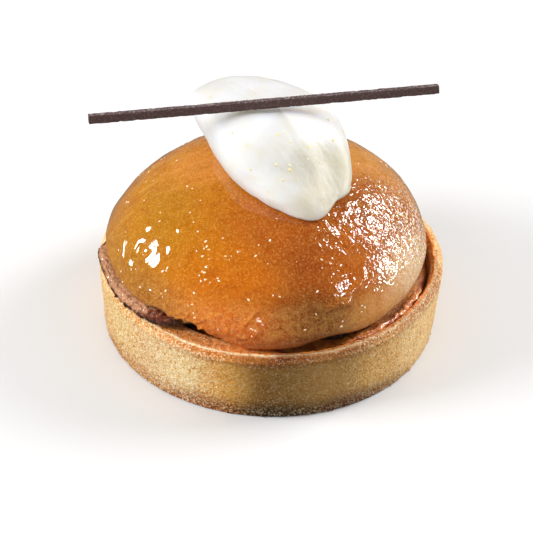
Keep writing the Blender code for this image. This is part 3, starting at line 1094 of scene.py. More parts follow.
@dataclass
class TartShell:
    """The shortcrust shell: a straight wall with a thin, uneven rim."""

    columns_front: int = 500
    columns_back: int = 250
    heart_radius: float = 39.0
    heart_height: float = 15.9
    wall_top: float = 15.4
    inner_foot: float = 4.2
    pits: float = 0.09
    rim_crumble: float = 0.22
    foot_crumble: float = 0.35
    ledge: float = 3.8
    finish: ShortcrustFinish = field(default_factory=ShortcrustFinish)

    def _grid(self) -> np.ndarray:
        """Casts the section all round: underside, wall, rim, inner wall and floor.

        Returns:
            The grid in millimetres.
        """
        solid = SolidSkin("tart_shell", 0)
        turns = np.radians(spaced_turn(self.columns_front, self.columns_back))
        out = np.stack([np.cos(turns), np.sin(turns), np.zeros_like(turns)], -1)
        up = np.array([0.0, 0.0, 1.0])
        rows = []
        for radius in (6, 20, 32, 38.9):
            rows.append(solid.reach(out * radius + up * -5, np.broadcast_to(up, out.shape)))
        for height in np.concatenate([[0.05, 0.2, 0.4], np.linspace(0.65, self.wall_top, 48)]):
            rows.append(solid.reach(out * 60 + up * height, -out))
        for angle in np.radians(np.linspace(4, 176, 42)):
            start = out * self.heart_radius + up * self.heart_height
            rows.append(solid.reach(start, out * math.cos(angle) + up * math.sin(angle)))
        for height in np.linspace(self.wall_top, self.inner_foot, 16):
            rows.append(solid.reach(out * 20 + up * height, out))
        for radius in (34, 20, 6):
            rows.append(solid.reach(out * radius + up * 9, np.broadcast_to(-up, out.shape)))
        grid = np.array(rows)
        return self._evened(grid)

    @staticmethod
    def _evened(grid: np.ndarray) -> np.ndarray:
        """Rounds the facets off by averaging radius and height along each row."""
        turn = np.arctan2(grid[..., 1], grid[..., 0])
        radius = np.hypot(grid[..., 0], grid[..., 1])
        height = grid[..., 2]
        for _ in range(14):
            radius = (np.roll(radius, 1, 1) + 2 * radius + np.roll(radius, -1, 1)) / 4
            height = (np.roll(height, 1, 1) + 2 * height + np.roll(height, -1, 1)) / 4
        return np.stack([radius * np.cos(turn), radius * np.sin(turn), height], -1)

    @staticmethod
    def colours_and_shades() -> list[ShadedTint]:
        """The crust's colours from place to place, round its wall, foot and rim, with light and shade painted in:
        lighter on the wall at the front left where the light falls, darker at the front middle, and near black along
        the front of the foot as painted shade.

        Returns:
            The patches, own colour and painted light and shade together.
        """
        return [
            ShadedTint(Spot(-168, 9, 9, 6), shade(212, 172, 114)),
            ShadedTint(Spot(-150, 10, 10, 6), shade(208, 175, 116)),
            ShadedTint(Spot(-133, 10, 9, 6), shade(214, 179, 130)),
            ShadedTint(Spot(-118, 9, 8, 6), shade(232, 205, 152)),
            ShadedTint(Spot(-105, 9, 8, 6), shade(228, 167, 78)),
            ShadedTint(Spot(-88, 9, 12, 6), shade(136, 98, 43)),
            ShadedTint(Spot(-68, 9, 11, 6), shade(185, 140, 74)),
            ShadedTint(Spot(-50, 9, 9, 6), shade(241, 186, 100)),
            ShadedTint(Spot(-30, 10, 12, 6), shade(255, 213, 145)),
            ShadedTint(Spot(-145, 1, 16, 3), shade(178, 124, 72)),
            ShadedTint(Spot(-112, 1, 12, 3), shade(141, 57, 5)),
            ShadedTint(Spot(-88, 1, 14, 3), shade(4, 3, 3)),
            ShadedTint(Spot(-60, 1, 14, 3), shade(82, 23, 5)),
            ShadedTint(Spot(-140, 18, 14, 2), shade(206, 150, 88)),
            ShadedTint(Spot(-112, 18, 12, 2), shade(155, 73, 4)),
            ShadedTint(Spot(-90, 18, 10, 2), shade(108, 42, 6)),
            ShadedTint(Spot(-64, 18, 12, 2), shade(138, 73, 12)),
            ShadedTint(Spot(-30, 18, 16, 2), shade(147, 68, 6)),
            ShadedTint(Spot(70, 9, 60, 20), shade(236, 186, 118)),
        ]

    def build(self, looks: SharedLooks) -> Skin:
        """Makes the shell and its crumbs.

        Args:
            looks: the shared effects.

        Returns:
            The shell's skin.
        """
        skin = Skin("baked_shell", self._grid())
        spots = skin.places
        radius = np.hypot(spots[:, 0], spots[:, 1])
        turn = np.degrees(np.arctan2(spots[:, 1], spots[:, 0]))
        ledge = smooth_step(-142, -131, turn) * smooth_step(-80, -98, turn) * self.ledge
        inwards = ledge * smooth_step(17.7, 16.7, spots[:, 2]) * smooth_step(8, 12, spots[:, 2]) * (radius < 39.0)
        skin.move(-spots * np.array([1, 1, 0]) * (inwards / np.maximum(radius, 1))[:, None])
        spots = skin.places
        height = spots[:, 2]
        rough = Unevenness(11)
        outside = smooth_step(37.5, 38.5, radius)
        rim = smooth_step(15.8, 17.2, height) * outside
        foot = smooth_step(3.4, 0.8, height) * outside
        keep = smooth_step(0.0, 0.5, height)
        lumps = rough.hills(spots, 7, 2) * 0.13
        sand = (rough.hills(spots, 0.8, 2) - 0.4 * np.abs(rough.hills(spots + 40, 2.6))) * self.pits
        crumble = (rough.grains(spots, 1.3) - 0.5) * self.rim_crumble * rim
        ragged = (rough.grains(spots + 20, 1.6) - 0.62) * self.foot_crumble * foot
        right_rim = smooth_step(-45, -20, turn) * smooth_step(40, 15, turn) * rim
        torn = rough.hills(spots + 70, 2.4, 2) * 0.3 * right_rim
        skin.swell(((lumps + sand) * (0.35 + 0.65 * outside) + crumble + ragged + torn) * keep)
        # Own colour with painted light and shade: lighter at the front left, darker at the front middle, near black
        # along the front of the foot.
        skin.carry("colour_and_shade", blended(self.colours_and_shades(), turn, height))
        calm = smooth_step(-110, -98, turn) * smooth_step(-50, -70, turn)
        skin.carry("sandy", np.clip(1.0 - 0.65 * calm + 0.4 * foot, 0, 1))
        near_left = smooth_step(-132, -122, turn) * smooth_step(-84, -94, turn)
        near_right = smooth_step(-42, -25, turn) * smooth_step(30, 12, turn)
        crest = 39.0 + 0.6 * near_left + 0.5 * near_right
        inside = smooth_step(crest, crest - 0.8, radius) * smooth_step(13.0, 14.5, height)
        patchy = np.clip(0.75 + 0.6 * rough.hills(spots + 9, 3.0, 2), 0, 1)
        skin.carry("stain", np.clip(inside * 1.3 * patchy + 0.25 * near_left * rim, 0, 0.92))
        skin.carry("wet", np.clip(inside * 0.7 * patchy, 0, 1))
        skin.carry("ledge", near_left)
        # Darker towards the dome at the front left: caramel and painted shade under the dome's overhang.
        skin.carry("deep_caramel_shade", near_left * smooth_step(38.4, 37.0, radius + 0.6 * rough.hills(spots + 15, 2)))
        line = np.exp(-(((radius - 39.3 - 0.25 * rough.hills(spots + 25, 5)) / 0.32) ** 2)) * smooth_step(17.0, 17.4, height)
        skin.carry("crest", line * (0.3 + 0.7 * near_left))
        cluster = np.exp(-((turn_between(turn, -101) / 3.0) ** 2) - ((height - 1.6) / 1.4) ** 2)
        along = smooth_step(1.9, 0.5, height) * (0.25 + 0.4 * smooth_step(0.1, 0.5, rough.hills(spots + 5, 5)))
        top = rim * smooth_step(17.0, 17.4, height) * 0.16
        skin.carry("crumbs", np.clip(cluster * 4 + along * 1.6 + top, 0, 4) * outside * keep)
        material = self.finish.material(looks)
        finish_piece(skin.piece, material, Slot.SHORTCRUST, "tart_shell")
        crumbs = Scatter("crust_crumbs", "crumbs", 0.9, 0.22, 0.62, 0.8, 0.1, 3).strew(skin, material)
        lift_off_ground(crumbs)
        finish_piece(crumbs, material, Slot.SHORTCRUST)
        return skin


def lift_off_ground(piece: bpy.types.Object) -> None:
    """Keeps a strewn piece's points from going below the underside of the tart."""
    for vertex in piece.data.vertices:
        vertex.co.z = max(vertex.co.z, 0.0)


@dataclass
class CaramelFilling:
    """The caramel in the shell, and the caramel that has seeped up between dome and rim at the right."""

    heart: tuple = (0.0, 0.0, 9.0)
    wave: float = 0.25
    seep_start: float = -64
    seep_end: float = -18
    seep_radius: float = 36.9
    seep_height: float = 16.9
    seep_thickness: float = 0.8
    finish: CaramelFinish = field(default_factory=CaramelFinish)

    def build(self, looks: SharedLooks) -> None:
        """Makes the filling and the seep.

        Args:
            looks: the shared effects.
        """
        climbs = np.concatenate([np.linspace(-88, 5, 12), np.linspace(7, 22, 60), np.linspace(24, 89, 10)])
        ways = sphere_ways(np.linspace(-180, 180, 420, endpoint=False), climbs)
        solid = SolidSkin("caramel_filling", 1)
        skin = Skin("set_caramel", solid.reach(np.array(self.heart), ways))
        rough = Unevenness(23)
        top = smooth_step(13.5, 14.3, skin.places[:, 2])
        skin.swell((rough.hills(skin.places, 3.5, 2) * self.wave + rough.hills(skin.places, 1.2) * 0.08) * top)
        material = self.finish.material(looks)
        finish_piece(skin.piece, material, Slot.CARAMEL, "caramel_filling")
        seep = self._seep()
        finish_piece(seep.piece, material, Slot.CARAMEL)

    def _seep(self) -> Skin:
        """A thick uneven bead of caramel along the inside of the rim.

        Returns:
            The bead's skin.
        """
        rough = Unevenness(29)
        along = np.linspace(0, 1, 240)
        turn = np.radians(self.seep_start + (self.seep_end - self.seep_start) * along)
        taper = np.sqrt(np.clip(np.minimum(along, 1 - along) * 9, 0.001, 1))
        rows = []
        for share, angle, thin in zip(along, turn, taper):
            out = np.array([math.cos(angle), math.sin(angle), 0])
            middle = out * self.seep_radius + np.array([0, 0, self.seep_height])
            ring = np.radians(np.linspace(0, 360, 40, endpoint=False))
            section = np.cos(ring)[:, None] * out + np.sin(ring)[:, None] * np.array([0, 0, 0.8])
            rows.append(middle + section * self.seep_thickness * thin)
        skin = Skin("caramel_seep", np.array(rows))
        bumps = rough.hills(skin.places, 2.2) * 0.4 + rough.hills(skin.places, 1.1) * 0.3
        thin = np.append(np.repeat(taper, 40), [taper[0], taper[-1]])
        skin.swell(bumps * thin)
        return skin


@dataclass
class BrownedLayer:
    """The browned apple under the dome, which comes out over the rim at the left."""

    heart: tuple = (0.0, 0.0, 17.0)
    knobs: float = 0.9
    drawn_in: float = 3.5
    finish: BrownedFinish = field(default_factory=BrownedFinish)

    def build(self, looks: SharedLooks) -> None:
        """Makes the layer.

        Args:
            looks: the shared effects.
        """
        climbs = np.concatenate([np.linspace(-88, -5, 10), np.linspace(-4, 9, 84), np.linspace(10, 88, 10)])
        ways = sphere_ways(spaced_turn(460, 200), climbs)
        solid = SolidSkin("browned_apple_layer", 0)
        skin = Skin("browned_apple", solid.reach(np.array(self.heart), ways))
        rough = Unevenness(37)
        spots = skin.places
        radius = np.hypot(spots[:, 0], spots[:, 1])
        turn = np.degrees(np.arctan2(spots[:, 1], spots[:, 0]))
        drawn_in = smooth_step(-128, -117, turn) * smooth_step(-60, -80, turn) * smooth_step(24, 30, radius) * self.drawn_in
        skin.move(-spots * np.array([1, 1, 0]) * (drawn_in / np.maximum(radius, 1))[:, None])
        spots = skin.places
        edge = smooth_step(31.5, 33.5, radius)
        out = smooth_step(33.5, 36.0, radius)
        lumps = rough.hills(spots, 3.0, 2) * 0.35 + rough.hills(spots, 1.3, 2) * 0.65
        back = np.clip(smooth_step(-146, -158, turn) + (turn > 0), 0, 1)
        skin.swell(lumps * self.knobs * edge * (1 - 0.5 * back) - (0.08 + 0.6 * back) * out)
        raised = smooth_step(18.1, 20.7, spots[:, 2] + rough.hills(spots + 30, 3, 2) * 0.5)
        far = smooth_step(-124, -146, turn) + (turn > 0)
        far = np.clip(far, 0, 1)
        skin.carry("raised", (raised * (0.5 + 0.5 * far) + 0.3 * far * smooth_step(0.1, 0.3, raised)) * (0.2 + 0.8 * out))
        finish_piece(skin.piece, self.finish.material(looks), Slot.BROWNED, "browned_apple_layer")


@dataclass(frozen=True)
class GlazeRidge:
    """A raised line of glaze from one place on the dome to another, in degrees of turn and climb."""

    start: tuple
    end: tuple
    wide: float
    high: float
    bend: float = 0.0

    def weight(self, turns: np.ndarray, climbs: np.ndarray) -> np.ndarray:
        """The ridge's height at each point.

        Args:
            turns: the points' turns.
            climbs: the points' climbs.

        Returns:
            Heights in millimetres.
        """
        level = math.cos(math.radians((self.start[1] + self.end[1]) / 2))
        run = np.array([turn_between(np.array(self.end[0]), self.start[0]) * level, self.end[1] - self.start[1]])
        length = float(np.hypot(*run))
        ahead = run / length
        x = turn_between(turns, self.start[0]) * level
        y = climbs - self.start[1]
        along = np.clip((x * ahead[0] + y * ahead[1]) / length, 0, 1)
        bow = self.bend * 4 * along * (1 - along)
        off_x = x - run[0] * along + ahead[1] * bow
        off_y = y - run[1] * along - ahead[0] * bow
        return self.high * np.exp(-(off_x**2 + off_y**2) / self.wide**2)


@dataclass
class GlazedDome:
    """The glazed apple dome: smooth at the left, wrinkled with glaze at the right and near the cream."""

    heart: tuple = (0.0, 0.0, 23.0)
    columns_front: int = 320
    columns_back: int = 130
    wrinkle: float = 0.13
    lift: float = 1.05
    finish: GlazeFinish = field(default_factory=GlazeFinish)
    glint_beads: GlintFinish = field(default_factory=GlintFinish)

    @staticmethod
    def colours_and_shades() -> list[ShadedTint]:
        """The glaze's colours from place to place, with light and shade painted in: a pale painted sheen at the lower
        right edge, a saturated orange at the front middle painted as light passing through, and painted shade under the
        cream and low at the front.

        Returns:
            The patches, own colour and painted light and shade together.
        """
        return [
            ShadedTint(Spot(180, 12, 24, 16), shade(175, 109, 22)),
            ShadedTint(Spot(150, 35, 26, 16), shade(195, 116, 43)),
            ShadedTint(Spot(-165, 4, 12, 6), shade(154, 101, 26)),
            ShadedTint(Spot(-150, 22, 20, 10), shade(157, 100, 7)),
            ShadedTint(Spot(-120, 24, 22, 14), shade(177, 102, 4)),
            ShadedTint(Spot(-105, 16, 18, 10), shade(192, 96, 3)),
            ShadedTint(Spot(-135, 2, 16, 6), shade(138, 81, 28)),
            ShadedTint(Spot(-95, 36, 22, 9), shade(164, 75, 10)),
            ShadedTint(Spot(-75, 26, 14, 10), shade(139, 54, 4)),
            ShadedTint(Spot(-100, 2, 20, 6), shade(194, 73, 15)),
            ShadedTint(Spot(-76, 4, 14, 7), shade(81, 16, 4)),
            ShadedTint(Spot(-55, 18, 14, 10), shade(172, 77, 3)),
            ShadedTint(Spot(-50, 0, 12, 6), shade(202, 132, 71)),
            ShadedTint(Spot(-25, 4, 14, 8), shade(218, 177, 138)),
            ShadedTint(Spot(-15, 28, 18, 14), shade(146, 57, 5)),
            ShadedTint(Spot(30, 35, 30, 18), shade(210, 143, 75)),
            ShadedTint(Spot(90, 10, 50, 30), shade(200, 128, 50)),
        ]

    @staticmethod
    def ridges() -> list[GlazeRidge]:
        """The glaze's raised lines.

        Returns:
            The ridges.
        """
        return [
            GlazeRidge((-68, 7), (-61, 7), 1.5, 0.5, 0.6),
            GlazeRidge((-61, 8), (-55, 11), 1.2, 0.4, 1.0),
            GlazeRidge((-55, 12), (-51, 15), 1.0, 0.35, -0.6),
            GlazeRidge((-9, 38), (-14, 30), 1.0, 0.35, 1.0),
            GlazeRidge((-40, 39), (-32, 40), 0.9, 0.35, 1.0),
            GlazeRidge((-99, 2), (-93, 9), 0.55, 0.26, 0.3),
            GlazeRidge((-44, 26), (-38, 20), 0.8, 0.3, -1.0),
            GlazeRidge((-38, 18), (-34, 13), 0.8, 0.28, 0.8),
            GlazeRidge((-178, 22), (-160, 3), 0.7, 0.22, -2.0),
            GlazeRidge((-171, 20), (-154, 3), 0.7, 0.2, -2.0),
        ]

    @staticmethod
    def facets() -> list[GlazeFacet]:
        """The flat places at the left that catch the light.

        Returns:
            The facets.
        """
        return [
            GlazeFacet(-152.8, 12.3, 1.7, 2.1, 5.8, -1.7),
            GlazeFacet(-152.0, 9.9, 1.2, 1.2, 4.6, 6.4),
            GlazeFacet(-145.8, 10.5, 1.5, 1.6, -1.1, 3.0),
            GlazeFacet(-138.9, 14.1, 1.5, 2.4, -3.9, 2.3),
            GlazeFacet(-136.8, 17.7, 0.8, 1.4, -4.4, -5.4),
            GlazeFacet(-132.5, 16.9, 1.1, 2.2, -7.1, -1.8),
            GlazeFacet(-129.4, 19.3, 1.0, 3.0, -10.6, -6.3),
            GlazeFacet(-150.5, 5.4, 1.8, 1.8, 3.8, 11.8),
            GlazeFacet(-155.1, 17.3, 1.8, 1.2, 7.7, -6.6),
            GlazeFacet(-139.4, 25.1, 1.2, 1.2, -2.7, -11.7),
            GlazeFacet(-118.4, 23.7, 1.2, 1.2, -18.6, -9.2),
            GlazeFacet(-123.7, 25.8, 1.0, 1.0, -16.9, -11.7),
        ]

    def _lift_left_edge(self, skin: Skin, turns: np.ndarray, climb: np.ndarray) -> None:
        """Lifts the dome's lower edge at the front left, where it stands clear of the rim.

        Args:
            skin: the dome's skin.
            turns: the points' turns.
            climb: the points' climbs.
        """
        window = smooth_step(-138, -129, turns) * smooth_step(-97, -106, turns)
        outwards = skin.places * np.array([1, 1, 0]) / np.linalg.norm(skin.places[:, :2] + 1e-6, axis=1)[:, None]
        lifted = window * smooth_step(10, -4, climb)
        skin.move(np.array([0, 0, 1]) * (lifted * self.lift)[:, None] - outwards * (lifted * 0.5)[:, None])

    def build(self, looks: SharedLooks) -> Skin:
        """Makes the dome and the pale beads on it that are painted glints.

        Args:
            looks: the shared effects.

        Returns:
            The dome's skin.
        """
        low = np.concatenate([np.linspace(-88, -18, 7), np.linspace(-15, 5, 62)])
        climbs = np.concatenate([low, np.linspace(5.4, 50, 100), np.linspace(51.2, 89.4, 34)])
        ways = sphere_ways(spaced_turn(self.columns_front, self.columns_back), climbs)
        solid = SolidSkin("apple_dome", 2)
        skin = Skin("glazed_dome", solid.reach(np.array(self.heart), ways))
        rough = Unevenness(5)
        spots = skin.places
        away = spots - np.array(self.heart)
        turns = np.degrees(np.arctan2(away[:, 1], away[:, 0]))
        climb = np.degrees(np.arctan2(away[:, 2], np.hypot(away[:, 0], away[:, 1])))
        reach = np.linalg.norm(away, axis=1)
        self._lift_left_edge(skin, turns, climb)
        shown = smooth_step(-9, -5, climb)
        right = Spot(-32, 24, 34, 22).weight(turns, climb)
        tip = Spot(-58, 33, 14, 8).weight(turns, climb)
        calm = Spot(-53, 21, 7, 7).weight(turns, climb)
        front = Spot(-95, 3, 40, 7).weight(turns, climb)
        edge = Spot(-120, -2, 22, 5).weight(turns, climb)
        rear = Spot(90, 24, 75, 34).weight(turns, climb)
        wrinkled = np.clip(right * (1 - 0.85 * calm) + 0.8 * tip + 0.5 * rear, 0, 1.2)
        height = rough.hills(spots, 13, 2) * 0.25 + rough.hills(spots, 5) * 0.07 + rough.hills(spots, 1.6) * 0.012
        height += rough.ridges(spots, 3.2) * self.wrinkle * wrinkled + rough.hills(spots, 2.1) * 0.15 * wrinkled
        height += rough.ridges(spots + 50, 4.0, 2) * 0.1 * front + (rough.ridges(spots + 70, 2.6) - 0.4) * 0.9 * edge
        for ridge in self.ridges():
            height += ridge.weight(turns, climb)
        for facet in self.facets():
            height += facet.height(turns, climb, reach)
        skin.swell(height * shown)
        # Own colour with painted light and shade: sheen at the lower right edge, glow at the front middle, shade under
        # the cream and low at the front.
        skin.carry("colour_and_shade", blended(self.colours_and_shades(), turns, climb))
        veined = 0.25 + 0.75 * np.clip(front + 0.6 * Spot(120, 40, 60, 18).weight(turns, climb) + 0.3 * right, 0, 1)
        skin.carry("veined", np.clip(veined - 0.3 * Spot(-110, 18, 16, 10).weight(turns, climb), 0, 1))
        skin.carry("wrinkled", np.clip(wrinkled, 0, 1))
        # The lower right edge, where a pale sheen and glint dots are painted and the glaze is duller.
        sheen_edge = Spot(-10, 8, 20, 20).weight(turns, climb)
        skin.carry("stipple_and_glints", np.clip(sheen_edge * 1.2, 0, 1))
        skin.carry("dull", np.clip(0.6 * sheen_edge + 0.3 * front, 0, 1))
        streaked = Spot(175, 20, 26, 24).weight(turns, climb) + Spot(140, 40, 26, 14).weight(turns, climb)
        skin.carry("streaked", np.clip(streaked, 0, 1) * 0.5)
        glinting = Spot(-118, 24, 18, 8).weight(turns, climb) + Spot(-140, 6, 20, 6).weight(turns, climb)
        # Painted glints: pale beads strewn thickest at the left, none in the wrinkled right.
        glint_beads = (0.2 + 0.8 * np.clip(glinting, 0, 1)) * smooth_step(0.1, 0.5, rough.hills(spots + 33, 3.5, 2)) * (1 - np.clip(right, 0, 1))
        skin.carry("glint_beads", glint_beads * smooth_step(-2, 4, climb) * smooth_step(58, 50, climb))
        material = self.finish.material(looks)
        finish_piece(skin.piece, material, Slot.GLAZED, "apple_dome")
        shiny = self.glint_beads.material()
        glint_lumps = Scatter("painted_glints", "glint_beads", 1.1, 0.16, 0.46, 0.35, 0.02, 9, 1.7).strew(skin, shiny)
        finish_piece(glint_lumps, shiny, Slot.GLAZED)
        return skin


@dataclass
class CreamQuenelle:
    """The quenelle of whipped cream with its zest."""

    heart: tuple = (1.0, -1.3, 47.65)
    finish: CreamFinish = field(default_factory=CreamFinish)
    zest: ZestFinish = field(default_factory=ZestFinish)

    @staticmethod
    def colours_and_shades() -> list[ShadedTint]:
        """The cream's colours from place to place, mostly painted shade, greyest in the hollow at the right and under
        the tip.

        Returns:
            The patches, own colour and painted shade together.
        """
        return [
            ShadedTint(Spot(-150, 45, 30, 20), shade(221, 223, 227)),
            ShadedTint(Spot(-120, 20, 22, 16), shade(217, 218, 217)),
            ShadedTint(Spot(-90, 0, 20, 14), shade(235, 236, 235)),
            ShadedTint(Spot(-90, 40, 25, 18), shade(212, 212, 211)),
            ShadedTint(Spot(-66, -10, 16, 10), shade(225, 217, 201)),
            ShadedTint(Spot(-60, 20, 18, 14), shade(188, 183, 165)),
            ShadedTint(Spot(-44, -12, 10, 10), shade(186, 181, 160)),
            ShadedTint(Spot(-35, 8, 14, 14), shade(207, 203, 185)),
            ShadedTint(Spot(0, 45, 30, 20), shade(240, 240, 242)),
            ShadedTint(Spot(120, 30, 60, 40), shade(212, 212, 214)),
        ]

    def build(self, looks: SharedLooks) -> None:
        """Makes the quenelle and the zest.

        Args:
            looks: the shared effects.
        """
        climbs = np.concatenate([np.linspace(-88, -30, 30), np.linspace(-29, 70, 170), np.linspace(71, 89, 22)])
        ways = sphere_ways(np.linspace(-180, 180, 380, endpoint=False), climbs)
        solid = SolidSkin("cream_quenelle", 2)
        skin = Skin("cream", solid.reach(np.array(self.heart), ways))
        rough = Unevenness(41)
        spots = skin.places
        lengthways = np.array([0.664, -0.748, 0.0])
        level = spots @ lengthways
        away = spots - np.array(self.heart)
        turns = np.degrees(np.arctan2(away[:, 1], away[:, 0]))
        climb = np.degrees(np.arctan2(away[:, 2], np.hypot(away[:, 0], away[:, 1])))
        crescent = Spot(-166, 42, 16, 34).weight(turns, climb)
        valley = Spot(-36, 4, 16, 22).weight(turns, climb)
        end = Spot(-47, -17, 14, 8).weight(turns, climb)
        fill = np.clip(1 - crescent - 0.3 * valley * (1 - end), 0, 1)
        for _ in range(3):
            skin.fill_hollows(fill, 70)
        skin.swell(Spot(-45, -16, 9, 7).weight(turns, climb) * 0.7 + Spot(-46.5, -11, 4, 6).weight(turns, climb) * 0.9)
        skin.relax(0.5 * Spot(-43, -4, 12, 18).weight(turns, climb), 200)
        drawn = spots - level[:, None] * lengthways * 0.82
        stroke = rough.hills(drawn, 3.0, 2) * 0.10 + rough.hills(drawn + 9, 1.1) * 0.035
        skin.swell(stroke + rough.hills(spots, 6) * 0.12)
        up = skin.normals()[:, 2]
        # Own colour with painted shade: greyest in the hollow at the right and under the tip.
        skin.carry("colour_and_shade", blended(self.colours_and_shades(), turns, climb))
        specks = smooth_step(0.0, 0.5, up) * (0.35 + 0.65 * smooth_step(4, 12, level))
        skin.carry("specks", specks)
        finish_piece(skin.piece, self.finish.material(looks), Slot.CREAM, "cream_quenelle")
        yellow = self.zest.material()
        zest = Scatter("zest_specks", "specks", 0.04, 0.2, 0.75, 0.3, 0.25, 5).strew(skin, yellow)
        finish_piece(zest, yellow, Slot.CREAM)


@dataclass
class ChocolateStick:
    """The square chocolate stick across the cream."""

    steps_long: int = 420
    steps_side: int = 9
    chips: float = 0.07
    finish: ChocolateFinish = field(default_factory=ChocolateFinish)

    @staticmethod
    def _axes() -> tuple[np.ndarray, np.ndarray, np.ndarray]:
        """The solid's middle, its three directions and its three half sizes.

        Returns:
            The middle and half sizes in millimetres, and the directions as rows: length, side, top.
        """
        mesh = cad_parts["chocolate_stick"].data
        points = np.array([v.co[:] for v in mesh.vertices]) / MM
        areas = sorted(mesh.polygons, key=lambda p: -p.area)
        first = np.array(areas[0].normal[:])
        other = next(np.array(p.normal[:]) for p in areas if abs(np.dot(p.normal, first)) < 0.3)
        top, side = (first, other) if abs(first[2]) > abs(other[2]) else (other, first)
        top, side = top * np.sign(top[2]), side * np.sign(side[1])
        length = np.cross(side, top)
        ways = np.array([length * np.sign(length[0]), side, top])
        spread = points @ ways.T
        middle = (spread.max(0) + spread.min(0)) / 2
        return middle @ ways, ways, (spread.max(0) - spread.min(0)) / 2

    def build(self, looks: SharedLooks) -> None:
        """Makes the stick.

        Args:
            looks: the shared effects.
        """
        middle, ways, half = self._axes()
        edge = np.linspace(-1, 1, self.steps_side)
        corner = 0.93
        ring = [(-1, v * corner) for v in edge[::-1]] + [(v * corner, -1) for v in edge]
        ring += [(1, v * corner) for v in edge] + [(v * corner, 1) for v in edge[::-1]]
        ring = np.array(ring) * half[1:]
        along = np.linspace(-1, 1, self.steps_long) * half[0]
        rows = [np.column_stack([np.full(len(ring), along[0]), ring * 0.55])]
        rows += [np.column_stack([np.full(len(ring), x), ring]) for x in along]
        rows += [np.column_stack([np.full(len(ring), along[-1]), ring * 0.55])]
        skin = Skin("chocolate_bar", middle + np.array(rows) @ ways)
        rough = Unevenness(53)
        spots = skin.places
        local = (spots - middle) @ ways.T
        on_edge = smooth_step(0.6, 0.95, np.abs(local[:, 1]) / half[1]) * smooth_step(0.6, 0.95, np.abs(local[:, 2]) / half[2])
        bite = np.clip(rough.hills(spots, 1.4, 2) - 0.1, 0, 1) * 0.35 * on_edge
        skin.swell(rough.hills(spots, 0.8, 2) * self.chips - 0.05 - bite)
        skin.carry("grainy", smooth_step(0.3, 0.9, skin.normals() @ ways[2]) * 0.8 + 0.1)
        finish_piece(skin.piece, self.finish.material(looks), Slot.CHOCOLATE, "chocolate_stick")


@dataclass(frozen=True)
class SoftLight:
    """A soft rectangular light, placed by its turn and climb from the tart."""

    name: str
    turn: float
    climb: float
    away: float
    wide: float
    high: float
    power: float
    fills: bool = True
    glints: bool = True

    def hang(self, target: Vector) -> None:
        """Hangs the light, facing a point.

        Args:
            target: the point in metres.
        """
        lamp = bpy.data.lights.new(self.name, "AREA")
        lamp.shape = "RECTANGLE"
        lamp.size, lamp.size_y = self.wide, self.high
        lamp.energy = self.power
        holder = bpy.data.objects.new(self.name, lamp)
        holder.visible_diffuse, holder.visible_glossy = self.fills, self.glints
        turn, climb = math.radians(self.turn), math.radians(self.climb)
        way = Vector((math.cos(climb) * math.cos(turn), math.cos(climb) * math.sin(turn), math.sin(climb)))
        holder.location = target + way * self.away
        holder.rotation_euler = way.to_track_quat("Z", "Y").to_euler()
        bpy.context.collection.objects.link(holder)


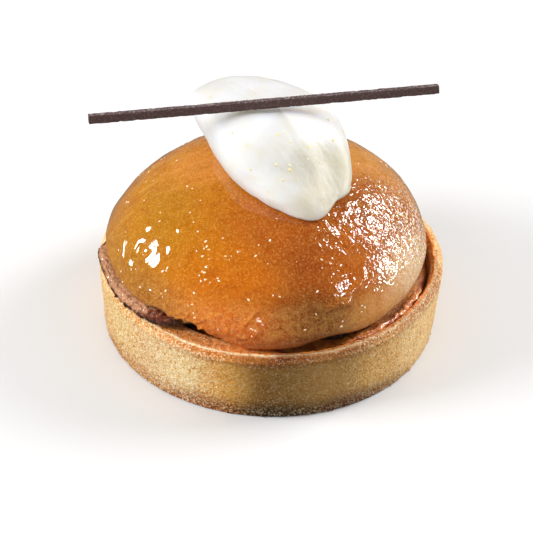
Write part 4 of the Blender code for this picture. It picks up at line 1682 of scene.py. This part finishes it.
@dataclass
class Studio:
    """The pale floor, the soft lights and the camera."""

    floor_side: float = 8.0
    lens: float = 145.9
    sensor: float = 36.0
    camera_place: tuple = (-0.879, -411.166, 322.717)
    elevation: float = 36.977
    tilt: float = 1.691
    surround: tuple = (1.0, 0.985, 0.96, 1.0)
    surround_power: float = 0.45
    front_power: float = 0.85
    mirrored_share: float = 0.16

    def build(self) -> None:
        """Sets everything up round the tart."""
        self._floor()
        self._camera()
        self._surround()
        low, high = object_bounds()
        target = (Vector(low) + Vector(high)) / 2
        for light in (
            SoftLight("left_fill", -166, 26, 0.6, 0.28, 0.24, 4.0, glints=False),
            SoftLight("left_spark", 168, 20, 0.6, 0.08, 0.08, 1.2, fills=False),
            SoftLight("right_fill", 20, 34, 0.6, 0.32, 0.24, 3.2, glints=False),
            SoftLight("right_spark", 26, 35, 0.6, 0.22, 0.18, 5.4, fills=False),
            SoftLight("right_low_spark", 8, 8, 0.6, 0.20, 0.11, 3.2, fills=False),
            SoftLight("right_front_spark", -30, 26, 0.6, 0.07, 0.07, 0.8, fills=False),
            SoftLight("front_strip", -100, 14, 0.6, 0.02, 0.08, 0.12),
        ):
            light.hang(target)

    def _floor(self) -> None:
        """Lays the floor just under the tart."""
        mesh = bpy.data.meshes.new("studio_floor")
        half = self.floor_side / 2
        corners = [(-half, -half), (half, -half), (half, half), (-half, half)]
        mesh.from_pydata([(x, y, -0.0001) for x, y in corners], [], [(0, 1, 2, 3)])
        floor = bpy.data.objects.new("studio_floor", mesh)
        mesh.materials.append(PaleFloorFinish().material())
        bpy.context.collection.objects.link(floor)
        floor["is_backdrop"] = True

    def _camera(self) -> None:
        """Sets the camera by its place and angles."""
        lens = bpy.data.cameras.new("camera")
        lens.lens, lens.sensor_width = self.lens, self.sensor
        lens.clip_start, lens.clip_end = 0.01, 50
        holder = bpy.data.objects.new("camera", lens)
        climb, tilt = math.radians(self.elevation), math.radians(self.tilt)
        back = Vector((0, -math.cos(climb), math.sin(climb)))
        right, up = Vector((1, 0, 0)), Vector((0, math.sin(climb), math.cos(climb)))
        across = right * math.cos(tilt) + up * math.sin(tilt)
        upright = up * math.cos(tilt) - right * math.sin(tilt)
        turned = Matrix((across, upright, back)).transposed().to_4x4()
        holder.matrix_world = Matrix.Translation(Vector(self.camera_place) * MM) @ turned
        bpy.context.collection.objects.link(holder)
        bpy.context.scene.camera = holder

    def _surround(self) -> None:
        """Sets the pale light all round and plain colours."""
        world = bpy.data.worlds.new("surround")
        world.use_nodes = True
        bpy.context.scene.world = world
        bench = Bench(world.node_tree)
        path = bench.add("ShaderNodeLightPath").outputs
        way = bench.add("ShaderNodeSeparateXYZ", {0: bench.add("ShaderNodeTexCoord").outputs["Generated"]}).outputs
        power = bench.step(way["Y"], 0.4, -0.8, self.surround_power, self.front_power)
        power = bench.sum("MULTIPLY", power, bench.step(path["Is Glossy Ray"], 0, 1, 1, self.mirrored_share))
        power = bench.sum("MAXIMUM", power, path["Is Camera Ray"])
        back = world.node_tree.nodes["Background"]
        back.inputs[0].default_value = self.surround
        bench.feed(back.inputs[1], power)
        bpy.context.scene.view_settings.view_transform = "Standard"


def main() -> None:
    """Builds the tart and its studio."""
    logging.basicConfig(level=logging.INFO, format="%(name)s: %(message)s")
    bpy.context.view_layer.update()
    looks = SharedLooks()
    TartShell().build(looks)
    CaramelFilling().build(looks)
    BrownedLayer().build(looks)
    GlazedDome().build(looks)
    CreamQuenelle().build(looks)
    ChocolateStick().build(looks)
    Studio().build()


if __name__ == "__main__":
    main()
